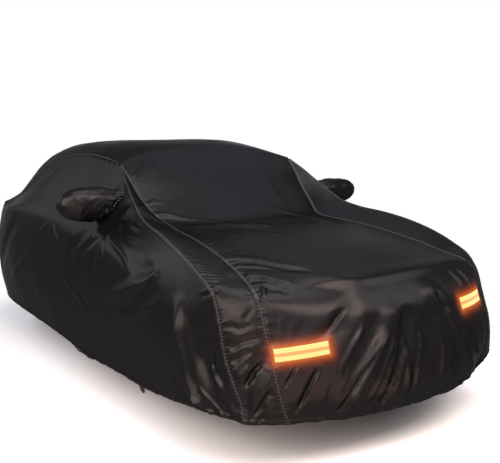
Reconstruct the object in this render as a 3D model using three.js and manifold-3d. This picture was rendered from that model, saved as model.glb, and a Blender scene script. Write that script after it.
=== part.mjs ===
// A fitted outdoor cover for a saloon car, as it sits over the car: a hollow shell of sewn cloth
// panels with door-mirror pockets, reflective strips on the nose and an elastic hem with a strap.
// Millimetres, +Z up, nose towards -Y. The origin is on the underside of the cloth at the middle of
// the roof, where the car carries it, so every height in the tables is above the road and turned
// into z by ROOF_HEIGHT.
import * as THREE from "three";
import { mergeVertices } from "three/addons/utils/BufferGeometryUtils.js";
import Module from "manifold-3d";

const wasm = await Module();
wasm.setup();

// Driving dimensions.
const ROOF_HEIGHT = 1530; // underside of the cloth at the middle of the roof, above the road
const ROOF_MIDDLE = 450; // the middle of the roof, behind the middle of the wheelbase
const CLOTH = 2; // thickness of the cloth with its backing
const GAP = 0.3; // between pieces that are sewn or laid together
const END_ROWS = 18; // rows of facets from the hem to the roof seam, at the nose, tail and sides
const ROOF_ROWS = 16; // rows of facets along the roof seam and along each side
const TOP_COLUMNS = 18; // columns across the top panel
const CORNER_COLUMNS = 5; // columns across a front corner panel

// A pocket runs out from a side panel, from root to tip, over the door mirror; height and depth are
// its widest, and it climbs by tilt. The two mirrors hold theirs at slightly different heights.
const POCKET = { root: 640, tip: 1066, height: 190, depth: 168, along: -475, tilt: 12, sides: 16 };
const POCKET_UP = { right: 1130, left: 1112 };
const POCKET_MOUTH = 0.72; // size of the hole in the side panel as a share of the pocket's

const STRIP = { length: 232, height: 52, thick: 1.2 }; // a reflective strip
const HEM_TAB = { along: -1067, radius: 34, thick: 2.4 }; // the half-round tab on each side hem

// The strap runs under the car from a buckle on the right hem to the left hem. lead is the short
// piece above the buckle, drop the part of it that hangs straight; the rest leans in.
const STRAP = { along: 20, width: 38, thick: 2, drop: 8, lead: 30, lean: 38, low: 132, sills: 640 };
const BUCKLE = { width: 54, thick: 12, socket: 50, bar: 30, mouth: 30 };
const BUCKLE_WALL = { face: 3, edge: 4, rail: 7, slot: 6, window: 15, inset: 6 };

// The hem rides up at the front corner on the car's left, growing between two points.
const HEM_RIDE = { up: 45, back: 22 };
const HEM_RIDE_FROM = new THREE.Vector3(250, -1900, -900);
const HEM_RIDE_TO = new THREE.Vector3(700, -2300, -1290);

// Turns rows of bare numbers into rows with named columns.
function table(names, rows) {
  const keys = names.split(" ");
  return rows.map((row) => Object.fromEntries(keys.map((key, i) => [key, row[i]])));
}

// The seam between the top panel and a front corner panel, from the hem over the nose and the
// bonnet and up the windscreen pillar to the roof.
const INNER_SEAM = table("out along up", [
  [610, -1985, 243],
  [642, -1985, 350],
  [660, -1962, 485],
  [662, -1917, 613],
  [660, -1868, 745],
  [650, -1812, 788],
  [625, -1690, 822],
  [605, -1545, 864],
  [582, -1354, 906],
  [560, -1154, 942],
  [535, -940, 968],
  [525, -735, 1000],
  [562, -615, 1068],
  [590, -490, 1165],
  [605, -400, 1260],
  [620, -290, 1362],
]);

// The seam between a front corner panel and a side panel, from the hem up to the same point.
const OUTER_SEAM = table("out along up", [
  [768, -1892, 250],
  [785, -1860, 385],
  [797, -1800, 530],
  [800, -1765, 690],
  [800, -1720, 782],
  [798, -1612, 846],
  [795, -1465, 908],
  [782, -1285, 962],
  [757, -1100, 1003],
  [728, -905, 1034],
  [705, -752, 1078],
  [690, -650, 1135],
  [672, -545, 1200],
  [650, -430, 1278],
  [620, -290, 1362],
]);

// The seam between the top panel and a side panel, from the windscreen pillar along the edge of
// the roof, down the rear pillar and along the boot to its corner.
const ROOF_SEAM = table("out along up", [
  [620, -290, 1362],
  [622, -50, 1403],
  [630, 110, 1424],
  [635, 285, 1436],
  [642, 455, 1438],
  [656, 680, 1421],
  [675, 910, 1371],
  [703, 1220, 1265],
  [723, 1510, 1183],
  [732, 1880, 1118],
  [728, 2270, 1084],
]);

// The same seam down the rear corner, from the boot to the hem.
const REAR_SEAM = table("out along up", [
  [728, 2270, 1084],
  [748, 2345, 980],
  [765, 2365, 850],
  [775, 2365, 690],
  [775, 2335, 520],
  [765, 2275, 390],
  [740, 2190, 285],
]);

// The middle of the top panel. place runs 0 to 1 up the inner seam, 1 to 2 along the roof seam and
// 2 to 3 down the rear seam; nose and crown say how square the panel is across, seen from above
// and from the end.
const CENTRE = table("place along up nose crown", [
  [0.0, -2085, 225, 2.0, 2],
  [0.05, -2120, 340, 2.4, 2],
  [0.11, -2118, 470, 2.8, 2],
  [0.17, -2090, 600, 3.0, 2],
  [0.225, -2048, 710, 2.8, 2],
  [0.255, -1975, 790, 2.4, 2],
  [0.3, -1850, 838, 2.2, 2],
  [0.37, -1670, 885, 2.2, 2],
  [0.47, -1400, 935, 2.2, 2],
  [0.58, -1150, 972, 2.2, 2],
  [0.68, -950, 998, 2.2, 2],
  [0.76, -780, 1035, 2.2, 2],
  [0.83, -590, 1140, 2.2, 2],
  [0.9, -370, 1290, 2.2, 2.4],
  [1.0, -90, 1448, 2.2, 3],
  [1.1, 130, 1505, 2.2, 4],
  [1.22, 450, 1532, 2.2, 5],
  [1.35, 760, 1540, 2.2, 7],
  [1.46, 1080, 1526, 2.2, 8],
  [1.58, 1400, 1474, 2.2, 9],
  [1.7, 1720, 1376, 2.2, 9],
  [1.83, 2020, 1250, 2.2, 7],
  [2.0, 2360, 1135, 2.2, 4],
  [2.15, 2455, 1010, 2.2, 2],
  [2.35, 2480, 850, 2.2, 2],
  [2.55, 2480, 650, 2.2, 2],
  [2.8, 2440, 430, 2.2, 2],
  [3.0, 2330, 270, 2.2, 2],
]);

// Lines along a side panel, each from the outer seam to the rear seam at the height where rise
// puts it: 0 is the hem and 1 the roof seam.
const SIDE_RAILS = [
  {
    rise: 0,
    rows: table("out along up", [
      [862, -1620, 268],
      [872, -1150, 228],
      [868, -650, 218],
      [864, -200, 204],
      [868, 400, 238],
      [872, 1050, 262],
      [868, 1650, 280],
      [820, 2000, 285],
    ]),
  },
  {
    rise: 0.17,
    rows: table("out along up", [
      [885, -1500, 470],
      [902, -1000, 460],
      [906, 0, 460],
      [908, 800, 470],
      [900, 1500, 480],
      [850, 2050, 485],
    ]),
  },
  {
    rise: 0.33,
    rows: table("out along up", [
      [870, -1450, 715],
      [915, -1000, 725],
      [922, 0, 735],
      [924, 800, 745],
      [915, 1500, 745],
      [860, 2050, 730],
    ]),
  },
  {
    rise: 0.52,
    rows: table("out along up", [
      [835, -1150, 925],
      [885, -800, 935],
      [900, -300, 955],
      [905, 300, 980],
      [900, 1100, 1000],
      [870, 1700, 990],
      [805, 2130, 950],
    ]),
  },
  {
    rise: 0.85,
    rows: table("out along up", [
      [745, -200, 1200],
      [768, 300, 1220],
      [785, 800, 1215],
      [795, 1250, 1150],
      [785, 1700, 1085],
      [762, 2080, 1045],
    ]),
  },
];

// ---- curves ----

const vector = (row) => new THREE.Vector3(row.out, row.along - ROOF_MIDDLE, row.up - ROOF_HEIGHT);

// A smooth curve through points, read by its share of the length.
function curveThrough(points) {
  const curve = new THREE.CatmullRomCurve3(points, false, "centripetal");
  curve.arcLengthDivisions = 400;
  return (share) => curve.getPointAt(THREE.MathUtils.clamp(share, 0, 1));
}

// A smooth value through (knot, value) pairs: cubic pieces whose slopes follow both neighbours.
function blendThrough(knots, values, at) {
  const last = knots.length - 1;
  let i = 0;
  while (i < last - 1 && at > knots[i + 1]) i += 1;
  const chord = (k) => (values[k + 1] - values[k]) / (knots[k + 1] - knots[k]);
  const slope = (k) => {
    if (k === 0) return chord(0);
    if (k === last) return chord(last - 1);
    const before = knots[k] - knots[k - 1];
    const after = knots[k + 1] - knots[k];
    return (chord(k - 1) * after + chord(k) * before) / (before + after);
  };
  const width = knots[i + 1] - knots[i];
  const t = (at - knots[i]) / width;
  const h00 = (1 + 2 * t) * (1 - t) * (1 - t);
  const h10 = t * (1 - t) * (1 - t);
  const h01 = t * t * (3 - 2 * t);
  const h11 = t * t * (t - 1);
  return h00 * values[i] + h10 * width * slope(i) + h01 * values[i + 1] + h11 * width * slope(i + 1);
}

const innerSeam = curveThrough(INNER_SEAM.map(vector));
const outerSeam = curveThrough(OUTER_SEAM.map(vector));
const roofSeam = curveThrough(ROOF_SEAM.map(vector));
const rearSeam = curveThrough([...REAR_SEAM].reverse().map(vector)); // from the hem up, as the others

// ---- the cloth surfaces, each drawn on the car's left (+X) and mirrored for its right ----

// Edge of the top panel at a place from 0 (front hem) to 3 (rear hem).
function topEdge(place) {
  if (place <= 1) return innerSeam(place);
  if (place <= 2) return roofSeam(place - 1);
  return rearSeam(3 - place);
}

// across runs from -1 on the car's right edge to 1 on its left.
function topPoint(place, across) {
  const edge = topEdge(place);
  const knots = CENTRE.map((row) => row.place);
  const read = (key) => blendThrough(knots, CENTRE.map((row) => row[key]), place);
  const along = read("along") - ROOF_MIDDLE;
  const z = read("up") - ROOF_HEIGHT;
  return new THREE.Vector3(
    edge.x * across,
    along + (edge.y - along) * Math.abs(across) ** read("nose"),
    z + (edge.z - z) * Math.abs(across) ** read("crown"),
  );
}

// across runs from 0 on the inner seam to 1 on the outer seam; the panel swells between them.
const CORNER_SWELL = 0.07; // height of the swell as a share of the panel's width
function cornerPoint(share, across) {
  const a = innerSeam(share);
  const b = outerSeam(share);
  const width = a.distanceTo(b);
  const out = new THREE.Vector3(1, -0.9, 0.35).normalize();
  return a.lerp(b, across).addScaledVector(out, 4 * across * (1 - across) * CORNER_SWELL * width);
}

const sideRails = SIDE_RAILS.map(({ rise, rows }) => ({
  rise,
  at: curveThrough([outerSeam(rise), ...rows.map(vector), rearSeam(rise)]),
}));
sideRails.push({ rise: 1, at: roofSeam });

// back runs from 0 on the outer seam to 1 on the rear seam, rise from 0 at the hem to 1 at the roof.
function sidePoint(back, rise) {
  const knots = sideRails.map((rail) => rail.rise);
  const loft = (share) => {
    const on = sideRails.map((rail) => rail.at(share));
    return new THREE.Vector3(
      ...["x", "y", "z"].map((axis) => blendThrough(knots, on.map((p) => p[axis]), rise)),
    );
  };
  const front = outerSeam(rise).sub(loft(0));
  const rear = rearSeam(rise).sub(loft(1));
  return loft(back)
    .addScaledVector(front, (1 - back) ** 3)
    .addScaledVector(rear, back ** 3);
}

// ---- how the cloth sits: the folds, and the hem that rides up at one corner ----

// Soft ridges (lift above 0) and troughs (lift below 0) from one point to another. spread is half
// the width of a fold; out is negative on the car's right.
const FOLDS = table("out1 along1 up1 out2 along2 up2 spread lift", [
  [-110, -2095, 640, -365, -2065, 280, 85, 16],
  [-20, -2095, 620, -190, -2095, 280, 75, -14],
  [-300, -2035, 700, -470, -2035, 560, 70, -9],
  [160, -2040, 710, 410, -2060, 300, 85, 14],
  [60, -2100, 560, 150, -2090, 260, 75, -12],
  [-665, -1945, 560, -770, -1880, 330, 70, -12],
  [-865, -1510, 700, -850, -1670, 320, 80, 14],
  [-840, -1690, 500, -800, -1820, 280, 60, -10],
  [-640, -1640, 836, -240, -1970, 785, 75, 10],
  [-740, -640, 1070, -100, -1040, 985, 80, 9],
  [-830, -640, 1010, -915, -540, 800, 70, -9],
  [-845, -600, 1010, -880, -1240, 820, 80, -10],
  [-852, -520, 1010, -918, -180, 850, 75, -8],
  [-875, -1270, 800, -918, -830, 650, 80, 9],
  [845, -600, 1010, 880, -1240, 820, 80, -10],
  [852, -520, 1010, 918, -180, 850, 75, -8],
  [865, -1510, 700, 850, -1670, 320, 80, 12],
  [-150, 2478, 900, -300, 2400, 380, 85, -10],
  [220, 2478, 900, 380, 2400, 380, 85, 12],
  [560, 1330, 1430, 700, 2000, 1150, 80, -8],
  [-560, 1330, 1430, -700, 2000, 1150, 80, -8],
  [900, 1200, 960, 860, 1900, 560, 90, -10],
  [-900, 1200, 960, -860, 1900, 560, 90, -10],
]).map((fold) => ({
  from: vector({ out: fold.out1, along: fold.along1, up: fold.up1 }),
  to: vector({ out: fold.out2, along: fold.along2, up: fold.up2 }),
  spread: fold.spread,
  lift: fold.lift,
}));

// How far the folds lift the cloth at a point, along its normal.
function foldLift(point) {
  let lift = 0;
  for (const fold of FOLDS) {
    const line = new THREE.Line3(fold.from, fold.to);
    const share = line.closestPointToPointParameter(point, true);
    const away = line.at(share, new THREE.Vector3()).distanceTo(point) / fold.spread;
    if (away < 1) lift += fold.lift * Math.cos((away * Math.PI) / 2) ** 2;
  }
  return lift;
}

function rideUp(point) {
  const share = ["x", "y", "z"]
    .map((axis) => (point[axis] - HEM_RIDE_FROM[axis]) / (HEM_RIDE_TO[axis] - HEM_RIDE_FROM[axis]))
    .reduce((product, at) => product * THREE.MathUtils.smoothstep(at, 0, 1), 1);
  return point.add(new THREE.Vector3(0, HEM_RIDE.back * share, HEM_RIDE.up * share));
}

// ---- grids of facets ----

// A panel as a grid of points with outward normals. Each edge on a seam is also on its
// neighbour's, point by point.
function gridOf(rows, columns, pointAt, outside) {
  const points = [];
  for (let i = 0; i <= rows; i += 1) {
    points.push([]);
    for (let j = 0; j <= columns; j += 1) points[i].push(rideUp(pointAt(i / rows, j / columns)));
  }
  const normals = points.map((row, i) => row.map((_, j) => {
    const up = points[Math.min(i + 1, rows)][j].clone().sub(points[Math.max(i - 1, 0)][j]);
    const on = points[i][Math.min(j + 1, columns)].clone().sub(points[i][Math.max(j - 1, 0)]);
    return on.cross(up).multiplyScalar(outside).normalize();
  }));
  return { points, normals, outside };
}

const mirrored = (point, side) => new THREE.Vector3(point.x * side, point.y, point.z);

const topRows = END_ROWS + ROOF_ROWS + END_ROWS;
function topPlace(share) {
  const row = Math.round(share * topRows);
  if (row <= END_ROWS) return row / END_ROWS;
  if (row <= END_ROWS + ROOF_ROWS) return 1 + (row - END_ROWS) / ROOF_ROWS;
  return 2 + (row - END_ROWS - ROOF_ROWS) / END_ROWS;
}
const topGrid = gridOf(topRows, TOP_COLUMNS, (a, b) => topPoint(topPlace(a), 2 * b - 1), 1);

const SIDES = [
  { name: "right", side: -1 },
  { name: "left", side: 1 },
];
for (const each of SIDES) {
  const { side } = each;
  each.corner = gridOf(END_ROWS, CORNER_COLUMNS, (a, b) => mirrored(cornerPoint(a, b), side), side);
  each.panel = gridOf(END_ROWS, ROOF_ROWS, (a, b) => mirrored(sidePoint(b, a), side), side);
}

// Panels that meet share one normal at each point of their seam, so their edges lie face to face.
const allGrids = [topGrid, ...SIDES.flatMap((each) => [each.corner, each.panel])];
const spot = (point) => point.toArray().map((value) => value.toFixed(2)).join(" ");
const shared = new Map();
for (const { points, normals } of allGrids) {
  points.forEach((row, i) => row.forEach((point, j) => {
    const sum = shared.get(spot(point)) ?? new THREE.Vector3();
    shared.set(spot(point), sum.add(normals[i][j]));
  }));
}
for (const { points, normals } of allGrids) {
  points.forEach((row, i) => row.forEach((point, j) => {
    normals[i][j].copy(shared.get(spot(point))).normalize();
  }));
  points.forEach((row, i) => row.forEach((point, j) => {
    point.addScaledVector(normals[i][j], foldLift(point));
  }));
}

// A corner panel ends in a narrow tip, this share of the way along its last row of facets, just
// short of the point where its two seams meet.
const TIP = 0.85;
for (const { corner: { points, normals } } of SIDES) {
  for (let j = 0; j <= CORNER_COLUMNS; j += 1) {
    points[END_ROWS][j] = points[END_ROWS - 1][j].clone().lerp(points[END_ROWS][j], TIP);
    normals[END_ROWS][j] = normals[END_ROWS - 1][j].clone().lerp(normals[END_ROWS][j], TIP);
    normals[END_ROWS][j].normalize();
  }
}

// Draws a grid's edges in by half the gap, in the plane of the cloth and square to the edge.
function drawnIn({ points }) {
  const rows = points.length - 1;
  const columns = points[0].length - 1;
  const moved = points.map((row) => row.map((point) => point.clone()));
  const step = (i, j, inward, beside) => {
    const along = points[beside[2]][beside[3]].clone().sub(points[beside[0]][beside[1]]).normalize();
    const into = points[inward[0]][inward[1]].clone().sub(points[i][j]);
    into.addScaledVector(along, -into.dot(along)).normalize();
    moved[i][j].addScaledVector(into, GAP * 0.6);
  };
  for (let i = 0; i <= rows; i += 1) {
    const low = Math.max(i - 1, 0);
    const high = Math.min(i + 1, rows);
    step(i, 0, [i, 1], [low, 0, high, 0]);
    step(i, columns, [i, columns - 1], [low, columns, high, columns]);
  }
  for (let j = 0; j <= columns; j += 1) {
    const low = Math.max(j - 1, 0);
    const high = Math.min(j + 1, columns);
    step(0, j, [1, j], [0, low, 0, high]);
    step(rows, j, [rows - 1, j], [rows, low, rows, high]);
  }
  return moved;
}

// A closed geometry between two copies of a grid, the outer one first.
function slabGeometry(outer, inner, outside) {
  const rows = outer.length - 1;
  const columns = outer[0].length - 1;
  const across = columns + 1;
  const layer = (rows + 1) * across;
  const position = [...outer.flat(), ...inner.flat()].flatMap((point) => point.toArray());
  const index = [];
  const quad = (a, b, c, d) => {
    if (outside > 0) index.push(a, b, c, a, c, d);
    else index.push(a, c, b, a, d, c);
  };
  const at = (i, j) => i * across + j;
  for (let i = 0; i < rows; i += 1) {
    for (let j = 0; j < columns; j += 1) {
      quad(at(i, j), at(i, j + 1), at(i + 1, j + 1), at(i + 1, j));
      quad(layer + at(i, j), layer + at(i + 1, j), layer + at(i + 1, j + 1), layer + at(i, j + 1));
    }
  }
  const wall = (a, b) => quad(a, layer + a, layer + b, b);
  for (let j = 0; j < columns; j += 1) {
    wall(at(0, j), at(0, j + 1));
    wall(at(rows, j + 1), at(rows, j));
  }
  for (let i = 0; i < rows; i += 1) {
    wall(at(i, columns), at(i + 1, columns));
    wall(at(i + 1, 0), at(i, 0));
  }
  const geometry = new THREE.BufferGeometry();
  geometry.setAttribute("position", new THREE.Float32BufferAttribute(position, 3));
  geometry.setIndex(index);
  return geometry;
}

const offset = (points, normals, by) => points.map((row, i) => row.map((point, j) =>
  point.clone().addScaledVector(normals[i][j], by)));

// The cloth of a grid: its outer face on the grid, CLOTH thick.
function clothGeometry(grid) {
  const outer = drawnIn(grid);
  return slabGeometry(outer, offset(outer, grid.normals, -CLOTH), grid.outside);
}

// ---- solids ----

function solidOf(geometry, matrix = new THREE.Matrix4()) {
  const plain = geometry.clone().applyMatrix4(matrix);
  plain.deleteAttribute("normal");
  plain.deleteAttribute("uv");
  const merged = mergeVertices(plain, 1e-3);
  return new wasm.Manifold(new wasm.Mesh({
    numProp: 3,
    vertProperties: merged.attributes.position.array,
    triVerts: new Uint32Array(merged.index.array),
  }));
}

function geometryOf(solid) {
  const mesh = solid.getMesh();
  const geometry = new THREE.BufferGeometry();
  const position = [];
  for (let i = 0; i < mesh.numVert; i += 1) {
    position.push(...mesh.vertProperties.slice(i * mesh.numProp, i * mesh.numProp + 3));
  }
  geometry.setAttribute("position", new THREE.Float32BufferAttribute(position, 3));
  geometry.setIndex([...mesh.triVerts]);
  return geometry;
}

// ---- the mirror pockets ----

// reach is the share of a pocket's length from its root, size the share of its full height and
// depth there.
const POCKET_RINGS = table("reach size", [
  [0.0, 0.8],
  [0.2, 0.8],
  [0.32, 0.86],
  [0.45, 0.98],
  [0.6, 1.0],
  [0.76, 0.96],
  [0.88, 0.83],
  [0.95, 0.64],
  [0.99, 0.36],
]);

// One skin of the pocket, closed at its tip and open at its root, drawn in by an amount.
function pocketSkin(name, side, drawn) {
  const rings = POCKET_RINGS.map(({ reach, size }) => {
    const ring = [];
    for (let k = 0; k < POCKET.sides; k += 1) {
      const turn = (2 * Math.PI * k) / POCKET.sides;
      const x = POCKET.root + (POCKET.tip - drawn - POCKET.root) * reach;
      const y = POCKET.along - ROOF_MIDDLE + ((POCKET.depth / 2) * size - drawn) * Math.cos(turn);
      const z = POCKET_UP[name] - ROOF_HEIGHT + POCKET.tilt * reach
        + ((POCKET.height / 2) * size - drawn) * Math.sin(turn);
      ring.push(new THREE.Vector3(side * x, y, z));
    }
    return ring;
  });
  const tip = new THREE.Vector3(
    side * (POCKET.tip - drawn),
    POCKET.along - ROOF_MIDDLE,
    POCKET_UP[name] - ROOF_HEIGHT + POCKET.tilt,
  );
  return { rings, tip };
}

function pocketGeometry(name, side) {
  const outer = pocketSkin(name, side, 0);
  const inner = pocketSkin(name, side, CLOTH);
  const count = POCKET.sides;
  const layer = POCKET_RINGS.length * count;
  const position = [...outer.rings.flat(), ...inner.rings.flat(), outer.tip, inner.tip];
  const index = [];
  const triangle = (a, b, c) => (side > 0 ? index.push(a, b, c) : index.push(a, c, b));
  const quad = (a, b, c, d) => {
    triangle(a, b, c);
    triangle(a, c, d);
  };
  for (let k = 0; k < count; k += 1) {
    const next = (k + 1) % count;
    for (let ring = 0; ring < POCKET_RINGS.length - 1; ring += 1) {
      const here = ring * count;
      const on = here + count;
      quad(here + k, here + next, on + next, on + k);
      quad(layer + here + k, layer + on + k, layer + on + next, layer + here + next);
    }
    const last = layer - count;
    triangle(last + k, last + next, 2 * layer);
    triangle(layer + last + next, layer + last + k, 2 * layer + 1);
    quad(k, layer + k, layer + next, next);
  }
  const geometry = new THREE.BufferGeometry();
  geometry.setAttribute(
    "position",
    new THREE.Float32BufferAttribute(position.flatMap((point) => point.toArray()), 3),
  );
  geometry.setIndex(index);
  return geometry;
}

// Everything inward of a side panel, out to a gap from its outer face.
function sideCutter({ panel, side }) {
  const outer = offset(panel.points, panel.normals, GAP);
  const inner = panel.points.map((row) => row.map((point) =>
    point.clone().add(new THREE.Vector3(-side * 260, 0, 0))));
  return solidOf(slabGeometry(outer, inner, panel.outside));
}

// The opening in a side panel through which the mirror reaches into its pocket.
function mouthCutter({ name, side }) {
  const geometry = new THREE.CylinderGeometry(0.5, 0.5, 400, POCKET.sides);
  const matrix = new THREE.Matrix4()
    .makeTranslation(side * 780, POCKET.along - ROOF_MIDDLE, POCKET_UP[name] - ROOF_HEIGHT + 3)
    .multiply(new THREE.Matrix4().makeRotationZ(Math.PI / 2))
    .multiply(new THREE.Matrix4().makeScale(
      POCKET.height * POCKET_MOUTH, 1, POCKET.depth * POCKET_MOUTH));
  return solidOf(geometry, matrix);
}

// ---- the reflective strips on the nose ----

const STRIPS = table("name out along up turn lean", [
  ["right", -545, -2005, 544, -26, 5],
  ["left", 462, -2030, 632, 21, 1],
]);

// A strip lies on the top panel: the part of a thin layer over the panel that a block picks out.
const topLayer = () => solidOf(slabGeometry(
  offset(topGrid.points, topGrid.normals, GAP + STRIP.thick),
  offset(topGrid.points, topGrid.normals, GAP),
  topGrid.outside,
));
function stripGeometry(row) {
  const place = vector(row);
  const matrix = new THREE.Matrix4()
    .makeTranslation(place.x, place.y, place.z)
    .multiply(new THREE.Matrix4().makeRotationZ(THREE.MathUtils.degToRad(row.turn)))
    .multiply(new THREE.Matrix4().makeRotationY(THREE.MathUtils.degToRad(-row.lean)));
  const block = solidOf(new THREE.BoxGeometry(STRIP.length, 240, STRIP.height), matrix);
  return geometryOf(topLayer().intersect(block));
}

// ---- what hangs from the hem: the strap with its buckle, and the half-round tabs ----

// Where a piece is sewn to the hem: x runs along the hem, y out of the cloth and z up it, with the
// origin in the middle of the hem's lower edge.
function hemSeat({ panel, side }, along) {
  const hem = drawnIn(panel)[0];
  const y = along - ROOF_MIDDLE;
  const j = hem.findIndex((point, k) => k + 1 < hem.length && point.y <= y && hem[k + 1].y > y);
  const share = (y - hem[j].y) / (hem[j + 1].y - hem[j].y);
  const normal = panel.normals[0][j].clone().lerp(panel.normals[0][j + 1], share).normalize();
  const edge = hem[j + 1].clone().sub(hem[j]).normalize().multiplyScalar(-side);
  normal.addScaledVector(edge, -normal.dot(edge)).normalize();
  const up = edge.clone().cross(normal);
  const middle = hem[j].clone().lerp(hem[j + 1], share).addScaledVector(normal, -CLOTH / 2);
  return new THREE.Matrix4().makeBasis(edge, normal, up).setPosition(middle);
}

function hemTabGeometry(each) {
  const outline = new THREE.Shape();
  outline.absarc(0, -GAP, HEM_TAB.radius, Math.PI, 2 * Math.PI, false);
  const geometry = new THREE.ExtrudeGeometry(outline, {
    depth: HEM_TAB.thick, bevelEnabled: false, curveSegments: 8,
  });
  geometry.rotateX(Math.PI / 2).translate(0, HEM_TAB.thick / 2, 0);
  return geometry.applyMatrix4(hemSeat(each, HEM_TAB.along));
}

// Webbing along points, lying across the direction given for each.
function webbingSolid(points, acrosses) {
  const last = points.length - 1;
  const edges = points.map((point, i) => [-0.5, 0.5].map((share) =>
    point.clone().addScaledVector(acrosses[i], share * STRAP.width)));
  const normals = points.map((_, i) => {
    const on = points[Math.min(i + 1, last)].clone().sub(points[Math.max(i - 1, 0)]);
    const normal = acrosses[i].clone().cross(on).normalize();
    return [normal, normal];
  });
  const half = STRAP.thick / 2;
  return solidOf(slabGeometry(offset(edges, normals, half), offset(edges, normals, -half), 1));
}

// The buckle's own frame: x across it, y out through its face and z up it, with the origin where
// the webbing above it starts to lean in.
const [rightSide, leftSide] = SIDES;
const rightSeat = hemSeat(rightSide, STRAP.along);
const leftSeat = hemSeat(leftSide, STRAP.along);
const buckleFrame = rightSeat.clone()
  .multiply(new THREE.Matrix4().makeTranslation(0, 0, -GAP - STRAP.drop))
  .multiply(new THREE.Matrix4().makeRotationX(-THREE.MathUtils.degToRad(STRAP.lean)));
const socketTop = -STRAP.lead;
const socketLow = socketTop - BUCKLE.socket;
const prongsTop = socketLow - GAP;
const prongsLow = prongsTop - BUCKLE.bar;

const axisOf = (matrix, k) => new THREE.Vector3().setFromMatrixColumn(matrix, k);
const inBuckle = (y, z) => new THREE.Vector3(0, y, z).applyMatrix4(buckleFrame);

// Webbing that comes to a bar of the buckle and loops round it. towards is 1 where the bar is
// below the webbing and -1 where it is above.
function loopRound(points, acrosses, barEdge, towards) {
  const out = BUCKLE.thick / 2 + GAP + STRAP.thick / 2;
  const slot = barEdge - towards * (BUCKLE_WALL.edge + BUCKLE_WALL.slot / 2);
  const meet = inBuckle(0, barEdge + towards * 14);
  const across = axisOf(buckleFrame, 0);
  const round = (side) => [
    meet,
    inBuckle(side * out, barEdge + towards * 2),
    inBuckle(side * out, slot),
    inBuckle(-side * 1, slot),
  ];
  const front = [...points, ...round(1)];
  const back = round(-1);
  return webbingSolid(front, [...acrosses, ...round(1).map(() => across)])
    .add(webbingSolid(back, back.map(() => across)));
}

function leadGeometry() {
  const top = new THREE.Vector3(0, 0, -GAP).applyMatrix4(rightSeat);
  const across = axisOf(rightSeat, 0);
  return geometryOf(loopRound([top, inBuckle(0, 0)], [across, across], socketTop, 1));
}

function underStrapGeometry() {
  const z = STRAP.low - ROOF_HEIGHT;
  const start = inBuckle(0, prongsLow - 30);
  const curve = new THREE.CatmullRomCurve3([
    new THREE.Vector3(0, 0, -2 * GAP).applyMatrix4(leftSeat),
    new THREE.Vector3(0, 0, -50).applyMatrix4(leftSeat),
    new THREE.Vector3(STRAP.sills, start.y, z),
    new THREE.Vector3(0, start.y, z - 6),
    new THREE.Vector3(-STRAP.sills, start.y, z),
    start,
    inBuckle(0, prongsLow - 14),
  ], false, "centripetal");
  const points = curve.getSpacedPoints(20).slice(0, -1);
  const from = axisOf(leftSeat, 0).negate();
  const acrosses = points.map((_, i) => from.clone().lerp(axisOf(rightSeat, 0), i / points.length));
  return geometryOf(loopRound(points, acrosses, prongsLow, -1));
}

// A block in the buckle's frame between two corners, mirrored across it where side is -1.
function buckleBlock(low, high, side = 1) {
  const size = high.map((value, i) => value - low[i]);
  const geometry = new THREE.BoxGeometry(...size);
  geometry.translate(side * (low[0] + size[0] / 2), low[1] + size[1] / 2, low[2] + size[2] / 2);
  return solidOf(geometry);
}

// The socket: a hollow block with a slot for the webbing and a window at each edge for a catch.
function socketGeometry() {
  const { face, edge, rail, slot, window, inset } = BUCKLE_WALL;
  const half = BUCKLE.width / 2;
  const deep = BUCKLE.thick / 2;
  const mouthTop = socketLow + BUCKLE.mouth;
  let solid = buckleBlock([-half, -deep, socketLow], [half, deep, socketTop])
    .subtract(buckleBlock(
      [rail - half, -deep - 1, socketTop - edge - slot], [half - rail, deep + 1, socketTop - edge]))
    .subtract(buckleBlock(
      [edge - half, face - deep, socketLow - 1], [half - edge, deep - face, mouthTop]));
  for (const side of [-1, 1]) {
    solid = solid.subtract(buckleBlock(
      [half - edge - 2, -deep - 1, mouthTop - inset - window],
      [half + 1, deep + 1, mouthTop - inset], side));
  }
  return geometryOf(solid).applyMatrix4(buckleFrame);
}

// The prongs: a bar with a slot for the strap, a middle tongue and two arms with catches.
function prongsGeometry() {
  const { face, edge, rail, slot, window, inset } = BUCKLE_WALL;
  const half = BUCKLE.width / 2;
  const deep = BUCKLE.thick / 2;
  const slim = deep - face - GAP;
  const reach = prongsTop + BUCKLE.mouth - 3;
  const catchTop = socketLow + BUCKLE.mouth - inset - 2 * GAP;
  const armOut = half - edge - GAP;
  let solid = buckleBlock([-half, -deep, prongsLow], [half, deep, prongsTop])
    .subtract(buckleBlock(
      [rail - half, -deep - 1, prongsLow + edge], [half - rail, deep + 1, prongsLow + edge + slot]))
    .add(buckleBlock([-4, -slim, prongsTop - 2], [4, slim, reach]));
  for (const side of [-1, 1]) {
    solid = solid
      .add(buckleBlock([armOut - 6, -slim, prongsTop - 2], [armOut, slim, reach], side))
      .add(buckleBlock([armOut - 2, -slim, catchTop - window + 3], [half - 1, slim, catchTop], side));
  }
  return geometryOf(solid).applyMatrix4(buckleFrame);
}

// ---- the object ----

const cloth = new THREE.MeshStandardMaterial({ color: 0x2b2c2f, roughness: 0.5, metalness: 0 });
const webbing = new THREE.MeshStandardMaterial({ color: 0x1c1c1d, roughness: 0.8, metalness: 0 });
const plastic = new THREE.MeshStandardMaterial({ color: 0x141415, roughness: 0.4, metalness: 0 });
const reflective = new THREE.MeshStandardMaterial({ color: 0xff9a2e, roughness: 0.4, metalness: 0 });

const cover = new THREE.Group();
function add(name, geometry, material) {
  const mesh = new THREE.Mesh(geometry, material);
  mesh.name = name;
  cover.add(mesh);
}

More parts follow.
